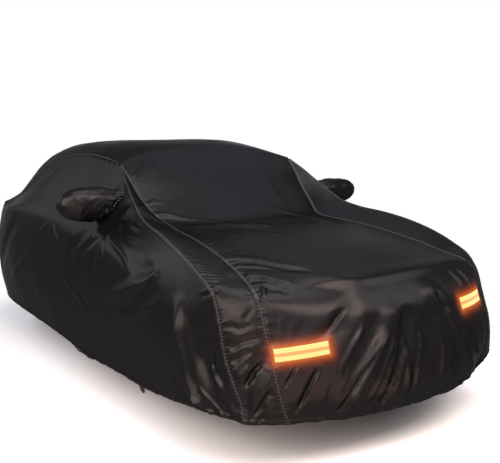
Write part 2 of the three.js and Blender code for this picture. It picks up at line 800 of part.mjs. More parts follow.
add("top_panel", clothGeometry(topGrid), cloth);
for (const each of SIDES) {
  add(`corner_panel_${each.name}`, clothGeometry(each.corner), cloth);
  add(`side_panel_${each.name}`,
    geometryOf(solidOf(clothGeometry(each.panel)).subtract(mouthCutter(each))), cloth);
  add(`mirror_pocket_${each.name}`,
    geometryOf(solidOf(pocketGeometry(each.name, each.side)).subtract(sideCutter(each))), cloth);
}
for (const row of STRIPS) add(`reflective_strip_${row.name}`, stripGeometry(row), reflective);
for (const each of SIDES) add(`hem_tab_${each.name}`, hemTabGeometry(each), webbing);
add("strap_lead", leadGeometry(), webbing);
add("buckle_socket", socketGeometry(), plastic);
add("buckle_prongs", prongsGeometry(), plastic);
add("under_strap", underStrapGeometry(), webbing);

export default cover;
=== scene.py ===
"""A fitted outdoor car cover, as it sits over a saloon car: sewn black cloth panels with folds,
puckered seams, door-mirror pockets, reflective strips, an elastic hem and a strap with a buckle."""
import math

import bpy
import numpy as np
from mathutils import Matrix, Vector
from mathutils.bvhtree import BVHTree


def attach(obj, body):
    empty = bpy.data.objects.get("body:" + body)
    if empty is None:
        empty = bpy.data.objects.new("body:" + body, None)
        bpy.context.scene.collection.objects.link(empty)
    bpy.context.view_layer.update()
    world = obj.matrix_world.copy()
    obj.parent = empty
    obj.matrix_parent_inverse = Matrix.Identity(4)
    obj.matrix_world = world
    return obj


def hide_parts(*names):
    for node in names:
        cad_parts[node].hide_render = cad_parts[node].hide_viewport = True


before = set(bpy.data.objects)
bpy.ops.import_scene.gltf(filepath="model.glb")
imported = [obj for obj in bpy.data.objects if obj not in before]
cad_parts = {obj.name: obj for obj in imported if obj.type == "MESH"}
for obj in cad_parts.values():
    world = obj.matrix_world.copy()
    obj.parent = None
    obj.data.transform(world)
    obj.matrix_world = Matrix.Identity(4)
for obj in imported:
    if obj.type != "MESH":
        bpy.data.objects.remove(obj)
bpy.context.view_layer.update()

MM = 0.001
ROOF_HEIGHT = 1530  # the tables count height from the road, the frame from under the roof's cloth
ROOF_MIDDLE = 450
FLOOR = -ROOF_HEIGHT * MM


def table(names, rows):
    """Turns rows of bare numbers into a column of numbers for each name."""
    return dict(zip(names.split(), np.array(rows, float).T))


def points_of(rows):
    """Rows of out, along, up from the road, as points in the frame (millimetres)."""
    return np.array(rows, float) - (0, ROOF_MIDDLE, ROOF_HEIGHT)


# ---- the shape, as the CAD has it: out, along, up in millimetres ----

INNER_SEAM = points_of([
    (610, -1985, 243), (642, -1985, 350), (660, -1962, 485), (662, -1917, 613), (660, -1868, 745),
    (650, -1812, 788), (625, -1690, 822), (605, -1545, 864), (582, -1354, 906), (560, -1154, 942),
    (535, -940, 968), (525, -735, 1000), (562, -615, 1068), (590, -490, 1165), (605, -400, 1260),
    (620, -290, 1362)])
OUTER_SEAM = points_of([
    (768, -1892, 250), (785, -1860, 385), (797, -1800, 530), (800, -1765, 690), (800, -1720, 782),
    (798, -1612, 846), (795, -1465, 908), (782, -1285, 962), (757, -1100, 1003), (728, -905, 1034),
    (705, -752, 1078), (690, -650, 1135), (672, -545, 1200), (650, -430, 1278), (620, -290, 1362)])
ROOF_SEAM = points_of([
    (620, -290, 1362), (622, -50, 1403), (630, 110, 1424), (635, 285, 1436), (642, 455, 1438),
    (656, 680, 1421), (675, 910, 1371), (703, 1220, 1265), (723, 1510, 1183), (732, 1880, 1118),
    (728, 2270, 1084)])
REAR_SEAM = points_of([
    (740, 2190, 285), (765, 2275, 390), (775, 2335, 520), (775, 2365, 690), (765, 2365, 850),
    (748, 2345, 980), (728, 2270, 1084)])
CENTRE = table("place along up nose crown", [
    (0.0, -2085, 225, 2.0, 2), (0.05, -2120, 340, 2.4, 2), (0.11, -2118, 470, 2.8, 2),
    (0.17, -2090, 600, 3.0, 2), (0.225, -2048, 710, 2.8, 2), (0.255, -1975, 790, 2.4, 2),
    (0.3, -1850, 838, 2.2, 2), (0.37, -1670, 885, 2.2, 2), (0.47, -1400, 935, 2.2, 2),
    (0.58, -1150, 972, 2.2, 2), (0.68, -950, 998, 2.2, 2), (0.76, -780, 1035, 2.2, 2),
    (0.83, -590, 1140, 2.2, 2), (0.9, -370, 1290, 2.2, 2.4), (1.0, -90, 1448, 2.2, 3),
    (1.1, 130, 1505, 2.2, 4), (1.22, 450, 1532, 2.2, 5), (1.35, 760, 1540, 2.2, 7),
    (1.46, 1080, 1526, 2.2, 8), (1.58, 1400, 1474, 2.2, 9), (1.7, 1720, 1376, 2.2, 9),
    (1.83, 2020, 1250, 2.2, 7), (2.0, 2360, 1135, 2.2, 4), (2.15, 2455, 1010, 2.2, 2),
    (2.35, 2480, 850, 2.2, 2), (2.55, 2480, 650, 2.2, 2), (2.8, 2440, 430, 2.2, 2),
    (3.0, 2330, 270, 2.2, 2)])
SIDE_RAILS = {  # rise from the hem (0) to the roof seam (1): the line along the panel there
    0.0: [(862, -1620, 268), (872, -1150, 228), (868, -650, 218), (864, -200, 204),
          (868, 400, 238), (872, 1050, 262), (868, 1650, 280), (820, 2000, 285)],
    0.17: [(885, -1500, 470), (902, -1000, 460), (906, 0, 460), (908, 800, 470),
           (900, 1500, 480), (850, 2050, 485)],
    0.33: [(870, -1450, 715), (915, -1000, 725), (922, 0, 735), (924, 800, 745),
           (915, 1500, 745), (860, 2050, 730)],
    0.52: [(835, -1150, 925), (885, -800, 935), (900, -300, 955), (905, 300, 980),
           (900, 1100, 1000), (870, 1700, 990), (805, 2130, 950)],
    0.85: [(745, -200, 1200), (768, 300, 1220), (785, 800, 1215), (795, 1250, 1150),
           (785, 1700, 1085), (762, 2080, 1045)]}
CORNER_SWELL = 0.07
CORNER_TOP = 0.996  # the corner panel stops just below the point where its seams meet
HEM_RIDE = {"up": 45, "back": 22}
HEM_RIDE_FROM = np.array([250, -1900, -900])
HEM_RIDE_TO = np.array([700, -2300, -1290])


def unit(v):
    return v / np.maximum(np.linalg.norm(v, axis=-1, keepdims=True), 1e-9)


def smooth(x):
    x = np.clip(x, 0, 1)
    return x * x * (3 - 2 * x)


def along_path(points):
    """The distance along a line of points, at each of them."""
    steps = np.linalg.norm(np.diff(points, axis=0), axis=1)
    return np.concatenate([[0], np.cumsum(steps)])


def read_points(at, places, points):
    """Points (or other triples) that are known at places, read at other places."""
    return np.stack([np.interp(at, places, points[:, k]) for k in range(3)], -1)


def dense_path(points, count=4000):
    """A centripetal Catmull-Rom curve through points, as count evenly numbered places on it."""
    p = np.vstack([2 * points[0] - points[1], points, 2 * points[-1] - points[-2]])
    at = np.linspace(0, len(points) - 1, count)
    i = np.minimum(at.astype(int), len(points) - 2)
    t = (at - i)[:, None]
    p0, p1, p2, p3 = (p[i + k] for k in range(4))
    d0, d1, d2 = (np.sqrt(np.linalg.norm(b - a, axis=1, keepdims=True))
                  for a, b in ((p0, p1), (p1, p2), (p2, p3)))
    m1 = d1 * ((p1 - p0) / d0 - (p2 - p0) / (d0 + d1) + (p2 - p1) / d1)
    m2 = d1 * ((p2 - p1) / d1 - (p3 - p1) / (d1 + d2) + (p3 - p2) / d2)
    return (p1 + m1 * t + (3 * (p2 - p1) - 2 * m1 - m2) * t ** 2
            + (2 * (p1 - p2) + m1 + m2) * t ** 3)


def curve_through(points, count=4000):
    """A curve through points, read by its share of the length."""
    path = dense_path(np.asarray(points, float), count)
    run = along_path(path)
    run /= run[-1]
    return lambda share: read_points(share, run, path)


def blend_through(knots, values, at):
    """A smooth value through (knot, value) pairs; values[k] may be an array that fits at."""
    last = len(knots) - 1
    chord = [(values[k + 1] - values[k]) / (knots[k + 1] - knots[k]) for k in range(last)]
    slope = [chord[0]]
    for k in range(1, last):
        before, after = knots[k] - knots[k - 1], knots[k + 1] - knots[k]
        slope.append((chord[k - 1] * after + chord[k] * before) / (before + after))
    slope.append(chord[-1])
    result = 0
    for i in range(last):
        inside = (at >= knots[i]) if i else np.ones(np.shape(at), bool)
        if i < last - 1:
            inside &= at < knots[i + 1]
        width = knots[i + 1] - knots[i]
        t = (at - knots[i]) / width
        piece = ((1 + 2 * t) * (1 - t) ** 2 * values[i] + t * (1 - t) ** 2 * width * slope[i]
                 + t * t * (3 - 2 * t) * values[i + 1] + t * t * (t - 1) * width * slope[i + 1])
        result = result + np.where(inside, piece, 0)
    return result


inner_seam = curve_through(INNER_SEAM)
outer_seam = curve_through(OUTER_SEAM)
roof_seam = curve_through(ROOF_SEAM)
rear_seam = curve_through(REAR_SEAM)
RISES = [*SIDE_RAILS, 1.0]
rails = [curve_through([outer_seam(rise), *points_of(rows), rear_seam(rise)])
         for rise, rows in SIDE_RAILS.items()] + [roof_seam]


def top_edge(place):
    place = place[..., None]
    return np.where(place <= 1, inner_seam(np.clip(place[..., 0], 0, 1)),
                    np.where(place <= 2, roof_seam(np.clip(place[..., 0] - 1, 0, 1)),
                             rear_seam(np.clip(3 - place[..., 0], 0, 1))))


def top_point(place, across):
    edge = top_edge(place)
    read = {key: blend_through(CENTRE["place"], CENTRE[key], place)
            for key in ("along", "up", "nose", "crown")}
    along, z = read["along"] - ROOF_MIDDLE, read["up"] - ROOF_HEIGHT
    side = np.abs(across)
    return np.stack([edge[..., 0] * across,
                     along + (edge[..., 1] - along) * side ** read["nose"],
                     z + (edge[..., 2] - z) * side ** read["crown"]], -1)


def corner_point(share, across):
    a, b = inner_seam(share), outer_seam(share)
    width = np.linalg.norm(b - a, axis=-1, keepdims=True)
    across = across[..., None]
    out = unit(np.array([1, -0.9, 0.35]))
    return a + (b - a) * across + 4 * across * (1 - across) * CORNER_SWELL * width * out


def side_point(back, rise):
    def loft(share):
        on = [rail(share) for rail in rails]
        return np.stack([blend_through(RISES, [p[..., k] for p in on], rise)
                         for k in range(3)], -1)
    front = outer_seam(rise) - loft(np.zeros_like(back))
    rear = rear_seam(rise) - loft(np.ones_like(back))
    return loft(back) + front * (1 - back[..., None]) ** 3 + rear * back[..., None] ** 3


def ride_up(points):
    """The hem rides up at the front corner on the car's left."""
    share = np.prod(smooth((points - HEM_RIDE_FROM) / (HEM_RIDE_TO - HEM_RIDE_FROM)), axis=-1)
    return points + share[..., None] * (0, HEM_RIDE["back"], HEM_RIDE["up"])


# ---- noise ----

class Noise:
    """Smooth seeded noise between about -1 and 1 in three dimensions."""

    def __init__(self, seed):
        rng = np.random.default_rng(seed)
        self.turn = rng.permutation(256)
        self.slopes = unit(rng.normal(size=(256, 3)))

    def __call__(self, p, size):
        p = np.asarray(p, float) / size
        cell = np.floor(p).astype(int)
        f = p - cell
        w = f ** 3 * (f * (f * 6 - 15) + 10)
        total = 0
        for corner in np.ndindex(2, 2, 2):
            i, j, k = ((cell[..., a] + corner[a]) & 255 for a in range(3))
            slope = self.slopes[self.turn[(self.turn[(self.turn[i] + j) & 255] + k) & 255]]
            share = np.prod([w[..., a] if corner[a] else 1 - w[..., a] for a in range(3)], axis=0)
            total = total + share * np.sum(slope * (f - corner), axis=-1)
        return total * 1.7


noise = Noise(7)
noise_b = Noise(19)

# ---- the folds ----

# Each fold runs along a path of (out, along, up) points; out is negative on the car's right.
# lift is its height in millimetres, below 0 for a trough. It falls off over left and right
# millimetres on either side, seen from outside with the path running away from the viewer's feet,
# and over the first head and last tail shares of its length. Its path sways by up to wander.
FOLDS = []


def fold(lift, left, right, path, head=0.25, tail=0.25, wander=5, broad=False):
    FOLDS.append({"lift": lift, "left": left, "right": right, "path": path, "head": head,
                  "tail": tail, "wander": wander, "broad": broad})


# broad, even shapes of the cloth, as the CAD has them
for height, half_width, *line in [
        (16, 85, (-110, -2095, 640), (-365, -2065, 280)),
        (-14, 75, (-20, -2095, 620), (-190, -2095, 280)),
        (-9, 70, (-300, -2035, 700), (-470, -2035, 560)),
        (14, 85, (160, -2040, 710), (410, -2060, 300)),
        (-12, 75, (60, -2100, 560), (150, -2090, 260)),
        (-12, 70, (-665, -1945, 560), (-770, -1880, 330)),
        (14, 80, (-865, -1510, 700), (-850, -1670, 320)),
        (-10, 60, (-840, -1690, 500), (-800, -1820, 280)),
        (10, 75, (-640, -1640, 836), (-240, -1970, 785)),
        (9, 80, (-740, -640, 1070), (-100, -1040, 985)),
        (-9, 70, (-830, -640, 1010), (-915, -540, 800)),
        (-10, 80, (-845, -600, 1010), (-880, -1240, 820)),
        (-8, 75, (-852, -520, 1010), (-918, -180, 850)),
        (9, 80, (-875, -1270, 800), (-918, -830, 650)),
        (-10, 80, (845, -600, 1010), (880, -1240, 820)),
        (-8, 75, (852, -520, 1010), (918, -180, 850)),
        (12, 80, (865, -1510, 700), (850, -1670, 320)),
        (-10, 85, (-150, 2478, 900), (-300, 2400, 380)),
        (12, 85, (220, 2478, 900), (380, 2400, 380)),
        (-8, 80, (560, 1330, 1430), (700, 2000, 1150)),
        (-8, 80, (-560, 1330, 1430), (-700, 2000, 1150)),
        (-10, 90, (900, 1200, 960), (860, 1900, 560)),
        (-10, 90, (-900, 1200, 960), (-860, 1900, 560))]:
    fold(height, half_width, half_width, line, broad=True)

# the fan of narrow folds below the nose, from the hem up
fold(15, 26, 11, [(-443, -2044, 262), (-353, -2090, 398), (-260, -2101, 499), (-157, -2091, 600)])
fold(19, 22, 11, [(-385, -2065, 262), (-318, -2096, 382), (-242, -2106, 480), (-140, -2095, 592)])
fold(16, 20, 10, [(-300, -2078, 262), (-235, -2108, 370), (-165, -2108, 480), (-95, -2092, 590)])
fold(15, 18, 10, [(-225, -2092, 258), (-175, -2112, 370), (-120, -2108, 500), (-82, -2092, 600)])
fold(14, 17, 10, [(-150, -2095, 255), (-115, -2115, 350), (-83, -2119, 430), (-45, -2108, 520)])
fold(14, 18, 9, [(-70, -2095, 255), (-58, -2113, 380), (-62, -2110, 490), (-77, -2091, 610)])
fold(13, 16, 9, [(0, -2095, 250), (6, -2120, 400), (36, -2108, 515), (60, -2092, 590)])
fold(11, 15, 9, [(70, -2090, 255), (86, -2112, 330), (90, -2119, 400)])
fold(11, 18, 10, [(150, -2085, 262), (165, -2112, 360), (160, -2110, 500), (135, -2090, 600)])
fold(11, 24, 8, [(420, -2040, 285), (330, -2095, 400), (265, -2099, 509), (196, -2070, 640)])
fold(10, 18, 8, [(300, -2068, 272), (250, -2104, 380), (206, -2106, 480), (165, -2085, 600)])
fold(10, 18, 9, [(520, -2000, 330), (449, -2065, 409), (386, -2072, 533), (330, -2045, 650)])
fold(10, 14, 8, [(240, -2076, 262), (220, -2106, 360), (190, -2108, 450)])
fold(-12, 12, 9, [(-410, -2055, 262), (-350, -2092, 370), (-290, -2104, 450)], 0.1, 0.4)
fold(-11, 11, 9, [(-262, -2085, 260), (-205, -2110, 370), (-150, -2110, 470)], 0.1, 0.4)
fold(-11, 11, 9, [(-188, -2094, 256), (-148, -2114, 350), (-105, -2116, 440)], 0.1, 0.4)
fold(-10, 11, 9, [(-35, -2095, 252), (-26, -2118, 370), (-14, -2112, 480)], 0.1, 0.4)

# black diagonal wedges between the strip and the corner
fold(-17, 26, 9, [(-594, -1992, 262), (-532, -2034, 389), (-478, -2050, 500)], 0.35, 0.2, 3)
fold(-13, 20, 8, [(-640, -1982, 380), (-601, -2002, 447), (-560, -2012, 505)], 0.4, 0.3, 3)
fold(-15, 9, 24, [(-325, -2025, 705), (-372, -2035, 666), (-412, -2041, 632), (-462, -2036, 590)],
     0.35, 0.5, 3)
fold(-16, 26, 9, [(-694, -1928, 530), (-735, -1906, 463), (-772, -1878, 395)], 0.3, 0.25, 4)
fold(-16, 26, 9, [(-668, -1965, 420), (-714, -1941, 340), (-750, -1908, 262)], 0.3, 0.3, 4)
fold(-10, 14, 10, [(-700, -1945, 300), (-728, -1925, 250)], 0.3, 0.2, 2)
fold(-2.5, 22, 36, [(-596, -1918, 712), (-615, -1930, 660), (-640, -1950, 590)], 0.3, 0.3)
fold(-2.5, 22, 36, [(-545, -1950, 700), (-590, -1962, 617), (-600, -1985, 540)], 0.3, 0.3)
fold(-2.5, 20, 34, [(-500, -1980, 680), (-548, -1990, 600), (-565, -2005, 530)], 0.3, 0.3)
fold(-6, 16, 20, [(-400, -2040, 470), (-436, -2048, 380), (-470, -2040, 280)], 0.3, 0.3)
fold(10, 24, 12, [(-250, -2080, 655), (-330, -2085, 560), (-400, -2075, 470), (-440, -2058, 380)])

# the corner panel between its two gathered seams
fold(-6, 26, 18, [(-788, -1812, 555), (-745, -1855, 585), (-695, -1898, 603), (-660, -1925, 600)],
     0.2, 0.3)
fold(-5, 22, 16, [(-785, -1835, 500), (-750, -1868, 530), (-712, -1900, 553)], 0.2, 0.3)
fold(-4, 20, 20, [(-770, -1790, 660), (-735, -1840, 640), (-700, -1880, 660)], 0.3, 0.3)
fold(5, 22, 16, [(-780, -1862, 420), (-742, -1888, 470), (-700, -1915, 500)], 0.3, 0.3)
fold(-5, 18, 20, [(-654, -1853, 750), (-699, -1859, 710), (-730, -1852, 671)], 0.2, 0.2, 4)

# the crease across each seam where its gathers begin
fold(-6, 8, 9, [(-815, -1656, 765), (-796, -1714, 784), (-762, -1735, 793)], 0.1, 0.2, 1)
fold(5, 9, 12, [(-815, -1640, 775), (-796, -1698, 796), (-762, -1718, 804)], 0.1, 0.2, 1)
fold(-6, 8, 9, [(-698, -1815, 774), (-658, -1823, 780), (-610, -1815, 790)], 0.2, 0.2, 1)
fold(7, 10, 14, [(-599, -1803, 796), (-608, -1835, 784), (-627, -1866, 752)], 0.2, 0.2, 1)

# the edge of the bonnet, and the folds that end on it
fold(9, 120, 34, [(-560, -1850, 792), (-329, -1935, 793), (-177, -1962, 793), (0, -1968, 793),
                  (291, -1935, 795), (520, -1860, 790), (650, -1800, 786)], 0.15, 0.12, 3)
fold(13, 70, 30, [(-640, -1475, 880), (-592, -1488, 878), (-494, -1566, 877), (-411, -1705, 852),
                  (-276, -1870, 820)], 0.1, 0.3)
fold(12, 45, 26, [(-640, -1700, 826), (-594, -1722, 822), (-530, -1800, 812), (-470, -1900, 786)],
     0.15, 0.35)
fold(-8, 30, 34, [(-610, -1790, 800), (-550, -1870, 785), (-505, -1915, 770)], 0.2, 0.3)
fold(8, 26, 18, [(-630, -1570, 858), (-520, -1640, 858), (-430, -1770, 838)], 0.2, 0.5)
fold(-13, 22, 26, [(180, -2035, 712), (200, -2067, 664), (242, -2081, 600)], 0.3, 0.4, 3)
fold(9, 22, 22, [(380, -1935, 782), (400, -1985, 735), (430, -2020, 680)], 0.2, 0.3, 3)
fold(-9, 20, 20, [(450, -1920, 775), (480, -1975, 715), (500, -2000, 660)], 0.2, 0.3, 3)

# from the mirror over the two seams on to the bonnet, and across the windscreen
fold(8, 22, 30, [(-740, -634, 1068), (-540, -634, 1059), (-422, -714, 1038), (-254, -839, 1012),
                 (-160, -980, 992)], 0.1, 0.4)
fold(6, 24, 34, [(-540, -800, 996), (-448, -904, 981), (-283, -1250, 940), (-120, -1530, 910)],
     0.2, 0.5)
fold(-5, 20, 40, [(-480, -760, 1015), (-380, -834, 1000), (-200, -1050, 975), (-14, -1379, 938)],
     0.2, 0.5)
fold(5, 60, 40, [(330, -150, 1440), (330, -400, 1290), (300, -640, 1110), (250, -900, 1000)],
     0.3, 0.4)
fold(5, 50, 36, [(60, -560, 1150), (158, -698, 1075), (300, -860, 1005), (350, -1302, 938)],
     0.3, 0.4)
fold(6, 16, 16, [(-400, -238, 1380), (-495, -322, 1325), (-585, -394, 1262)], 0.3, 0.2)
fold(5, 20, 20, [(-250, -183, 1410), (-358, -272, 1358), (-470, -365, 1290)], 0.4, 0.3)
fold(5, 16, 18, [(-590, -545, 1120), (-520, -560, 1140), (-440, -590, 1130)], 0.1, 0.6)
fold(5, 16, 18, [(-560, -640, 1050), (-490, -660, 1062), (-420, -690, 1050)], 0.1, 0.6)

# the side panel: out from the mirror pocket's root
fold(-8, 30, 34, [(-800, -600, 1040), (-889, -578, 957), (-915, -450, 885), (-920, -330, 830)],
     0.22, 0.5)
fold(-10, 34, 50, [(-800, -640, 1040), (-846, -869, 985), (-851, -1122, 915), (-868, -1269, 835)],
     0.22, 0.5)
fold(10, 22, 30, [(-800, -620, 1020), (-878, -730, 975), (-895, -930, 900), (-905, -1100, 800)],
     0.22, 0.4)
fold(9, 18, 22, [(-800, -610, 1010), (-888, -668, 947), (-912, -702, 870), (-918, -730, 770)],
     0.22, 0.5)
fold(8, 18, 20, [(-790, -560, 1050), (-880, -500, 960), (-910, -380, 900), (-920, -180, 850)],
     0.22, 0.5)
fold(11, 16, 18, [(-790, -640, 1075), (-781, -799, 1030), (-770, -950, 1005)], 0.25, 0.5)
fold(-9, 18, 18, [(-790, -640, 1100), (-770, -790, 1060), (-745, -900, 1030)], 0.25, 0.5)
fold(-10, 16, 18, [(-790, -650, 1045), (-800, -790, 1010), (-800, -960, 985)], 0.25, 0.5)

# the side panel: the belt, the door and the wing
fold(14, 20, 60, [(-850, -1330, 842), (-868, -1289, 812), (-908, -1094, 731), (-918, -831, 665),
                 (-922, -600, 640)], 0.08, 0.5)
fold(10, 18, 44, [(-862, -1400, 730), (-900, -1220, 640), (-915, -1020, 590), (-918, -800, 570)],
     0.3, 0.5)
fold(20, 46, 17, [(-850, -1500, 745), (-866, -1514, 671), (-870, -1546, 550), (-866, -1586, 408),
                  (-849, -1650, 318), (-838, -1690, 262)], 0.3, 0.1)
fold(17, 36, 14, [(-832, -1704, 480), (-815, -1761, 417), (-800, -1814, 322), (-790, -1845, 258)],
     0.3, 0.1)
fold(9, 18, 12, [(-892, -1420, 395), (-880, -1500, 345), (-866, -1585, 296), (-850, -1650, 262)],
     0.3, 0.15)
fold(9, 18, 12, [(-869, -1586, 356), (-841, -1694, 287), (-825, -1740, 256)], 0.3, 0.1)
fold(7, 14, 10, [(-850, -1660, 380), (-822, -1752, 300), (-808, -1800, 256)], 0.3, 0.1)
fold(-10, 20, 16, [(-812, -1745, 560), (-822, -1735, 480), (-800, -1800, 400)], 0.3, 0.3)
fold(5, 16, 18, [(-903, 213, 985), (-914, 96, 915), (-919, -14, 850)], 0.2, 0.5)
fold(5, 18, 18, [(-900, 300, 999), (-914, 482, 924), (-921, 682, 842)], 0.2, 0.5)
fold(7, 22, 26, [(-640, 560, 1440), (-717, 850, 1318), (-747, 1200, 1215), (-760, 1500, 1150)],
     0.2, 0.4)
fold(-7, 22, 22, [(-690, 800, 1350), (-722, 1050, 1265), (-740, 1300, 1200)], 0.3, 0.4)
fold(6, 20, 24, [(-560, 1000, 1490), (-623, 1283, 1400), (-690, 1600, 1260)], 0.3, 0.4)
fold(6, 30, 40, [(-921, 700, 760), (-925, 1100, 640), (-905, 1600, 420)], 0.3, 0.5)
fold(5, 24, 30, [(-925, 100, 700), (-925, -300, 560), (-900, -600, 400)], 0.4, 0.4)

# plain folds on the side that doesn't show
for lift, left, right, path in [
        (10, 30, 50, [(800, -620, 1030), (880, -760, 970), (895, -1000, 890), (905, -1150, 790)]),
        (9, 24, 34, [(800, -600, 1030), (889, -578, 955), (915, -450, 885), (920, -300, 820)]),
        (8, 22, 60, [(850, -1330, 842), (908, -1094, 731), (920, -800, 660)]),
        (12, 18, 40, [(860, -1500, 720), (870, -1560, 540), (850, -1650, 300)]),
        (9, 16, 30, [(832, -1704, 480), (800, -1814, 310)]),
        (6, 24, 40, [(910, 300, 960), (922, 700, 820), (922, 1200, 700)]),
        (6, 24, 40, [(720, 950, 1300), (760, 1500, 1150), (780, 1900, 1080)])]:
    fold(lift, left, right, path)


def swayed(path, wander, number):
    """A fold's path as a smooth curve that sways a little, each fold in its own way."""
    path = dense_path(path, 8 * len(path))
    share = np.linspace(0, 1, len(path))
    sway = np.stack([noise(np.stack([share * 5, share * 0 + number * 3.7 + k * 0.9,
                                     share * 0 + 0.5], -1), 1) for k in range(3)], -1)
    return path + wander * sway


def beside_path(path, points, normals):
    """For each point, its distance from a path over the cloth, the share of the path's length
    where it is nearest, and a number above 0 on the left of the path and below 0 on its right."""
    run = along_path(path)
    best = np.full(len(points), 1e9)
    place = np.zeros(len(points))
    sided = np.zeros(len(points))
    for a, b, start, end in zip(path[:-1], path[1:], run[:-1], run[1:]):
        along = b - a
        t = np.clip((points - a) @ along / (along @ along), 0, 1)
        off = points - (a + t[:, None] * along)
        off = off - normals * np.sum(off * normals, axis=1, keepdims=True) * 0.9
        away = np.linalg.norm(off, axis=1)
        closer = away < best
        best = np.where(closer, away, best)
        place = np.where(closer, (start + t * (end - start)) / run[-1], place)
        sided = np.where(closer, np.sum(np.cross(along, off) * normals, axis=1), sided)
    return best, place, sided


def crest(f, number, best, place, sided):
    """A fold's height: a rounded crest, steeper on one side, that fades towards its ends."""
    width = np.where(sided > 0, f["left"], f["right"])
    uneven = noise(np.stack([place * 4, place * 0 + number * 1.3, place * 0], -1), 1)
    width = width * (1 + 0.25 * uneven)
    s = np.sqrt((best / width) ** 2 + 0.03) - math.sqrt(0.03)
    bump = np.clip(1 - s, 0, 1) ** 2 * (1 + 0.7 * s)
    ends = smooth(place / f["head"]) * smooth((1 - place) / f["tail"])
    return f["lift"] * bump * ends


def fold_field(points, normals):
    """How far the folds lift the cloth at each point, along its normal."""
    flat, flat_normals = points.reshape(-1, 3), normals.reshape(-1, 3)
    lift = np.zeros(len(flat))
    for number, f in enumerate(FOLDS):
        path = points_of(f["path"])
        if not f["broad"]:
            path = swayed(path, f["wander"], number)
        reach = max(f["left"], f["right"]) * 1.35
        near = np.all((flat > path.min(0) - reach) & (flat < path.max(0) + reach), axis=1)
        if not near.any():
            continue
        best, place, sided = beside_path(path, flat[near], flat_normals[near])
        if f["broad"]:
            s = best / f["left"]
            lift[near] += np.where(s < 1, f["lift"] * np.cos(s * np.pi / 2) ** 2, 0)
        else:
            lift[near] += crest(f, number, best, place, sided)
    return lift.reshape(points.shape[:-1])


# ---- grids ----

COARSE = 1.0
SIDES = {"right": -1, "left": 1}
TOP_EDGE = {"right": "left", "left": "right"}  # the top panel's edge on each side of the car


def spaced(rows, length):
    """Places from first to last, spaced as (place, spacing in millimetres) rows say.
    length is the millimetres in each unit of place."""
    length = length / COARSE
    at, gap = np.array(rows, float).T
    fine = np.linspace(at[0], at[-1], 4000)
    density = length / np.interp(fine, at, gap)
    count = np.concatenate([[0], np.cumsum((density[1:] + density[:-1]) / 2 * np.diff(fine))])
    return np.interp(np.linspace(0, count[-1], int(round(count[-1])) + 1), count, fine)


def grid_normals(p, outside):
    return unit(np.cross(np.gradient(p, axis=1), np.gradient(p, axis=0))) * outside


SEAM_LINES = 60  # the lines of a grid beside its edge that a seam's tape can lie over
SEAM_BLEND = 45  # the distance over which two panels' normals agree


class Panel:
    """A panel as a grid of points with outward normals, before and after the folds."""

    def __init__(self, name, points, outside, edges):
        self.name, self.outside = name, outside
        self.base = ride_up(points)
        self.normals = grid_normals(self.base, outside)
        self.edges = edges  # edge of the grid: (seam, its places along that edge)
        step = np.linalg.norm(np.diff(self.base, axis=1), axis=-1)
        self.from_left = np.pad(np.cumsum(step, axis=1), ((0, 0), (1, 0)))
        self.from_right = self.from_left[:, -1:] - self.from_left
        step = np.linalg.norm(np.diff(self.base, axis=0), axis=-1)
        self.from_low = np.pad(np.cumsum(step, axis=0), ((1, 0), (0, 0)))
        self.from_high = self.from_low[-1:] - self.from_low
        self.lift = np.zeros(points.shape[:-1])

    def line(self, edge, values):
        return {"left": values[:, 0], "right": values[:, -1], "low": values[0],
                "high": values[-1]}[edge]

    def away(self, edge):
        return {"left": self.from_left, "right": self.from_right, "low": self.from_low,
                "high": self.from_high}[edge]

    def beside(self, edge, distance, values):
        """Values at a distance from an edge, one for each line of the grid that crosses it."""
        away = self.away(edge)
        if edge == "right":
            away, values = away[:, ::-1], values[:, ::-1]
        if edge in ("low", "high"):
            away, values = away.T, np.swapaxes(values, 0, 1)
            if edge == "high":
                away, values = away[:, ::-1], values[:, ::-1]
        return np.stack([read_points(distance, a, v)
                         for a, v in zip(away[:, :SEAM_LINES], values[:, :SEAM_LINES])])

    def spread(self, edge, values):
        """Values along an edge, carried over the whole grid along the lines that cross it."""
        return values[:, None] if edge in ("left", "right") else values[None, :]

    def run(self, edge):
        """Millimetres along an edge, for each line of the grid that crosses it."""
        return self.spread(edge, along_path(self.line(edge, self.base)))


def share_normals(panels):
    """Panels that meet turn their normals to a common one towards their seam."""
    seams = {}
    for panel in panels:
        for edge, (seam, places) in panel.edges.items():
            seams.setdefault(seam, []).append((places, panel.line(edge, panel.normals)))
    turned = {}
    for panel in panels:
        normals = panel.normals.copy()
        for edge, (seam, places) in panel.edges.items():
            both = 0
            for other_places, other in seams[seam]:
                order = np.argsort(other_places)
                both = both + read_points(places, other_places[order], other[order])
            change = panel.spread(edge, unit(both) - panel.line(edge, panel.normals))
            normals += change * np.exp(-(panel.away(edge) / SEAM_BLEND) ** 2)[..., None]
        turned[panel] = unit(normals)
    for panel in panels:
        panel.normals = turned[panel]


def mirrored(points, side):
    return points * (side, 1, 1)


SEAM_LENGTH = 2350  # of the front seam, and about that of each other unit of place
TOP_WIDTH = 1250
SIDE_LENGTH = 4200
SIDE_HEIGHT = 1280

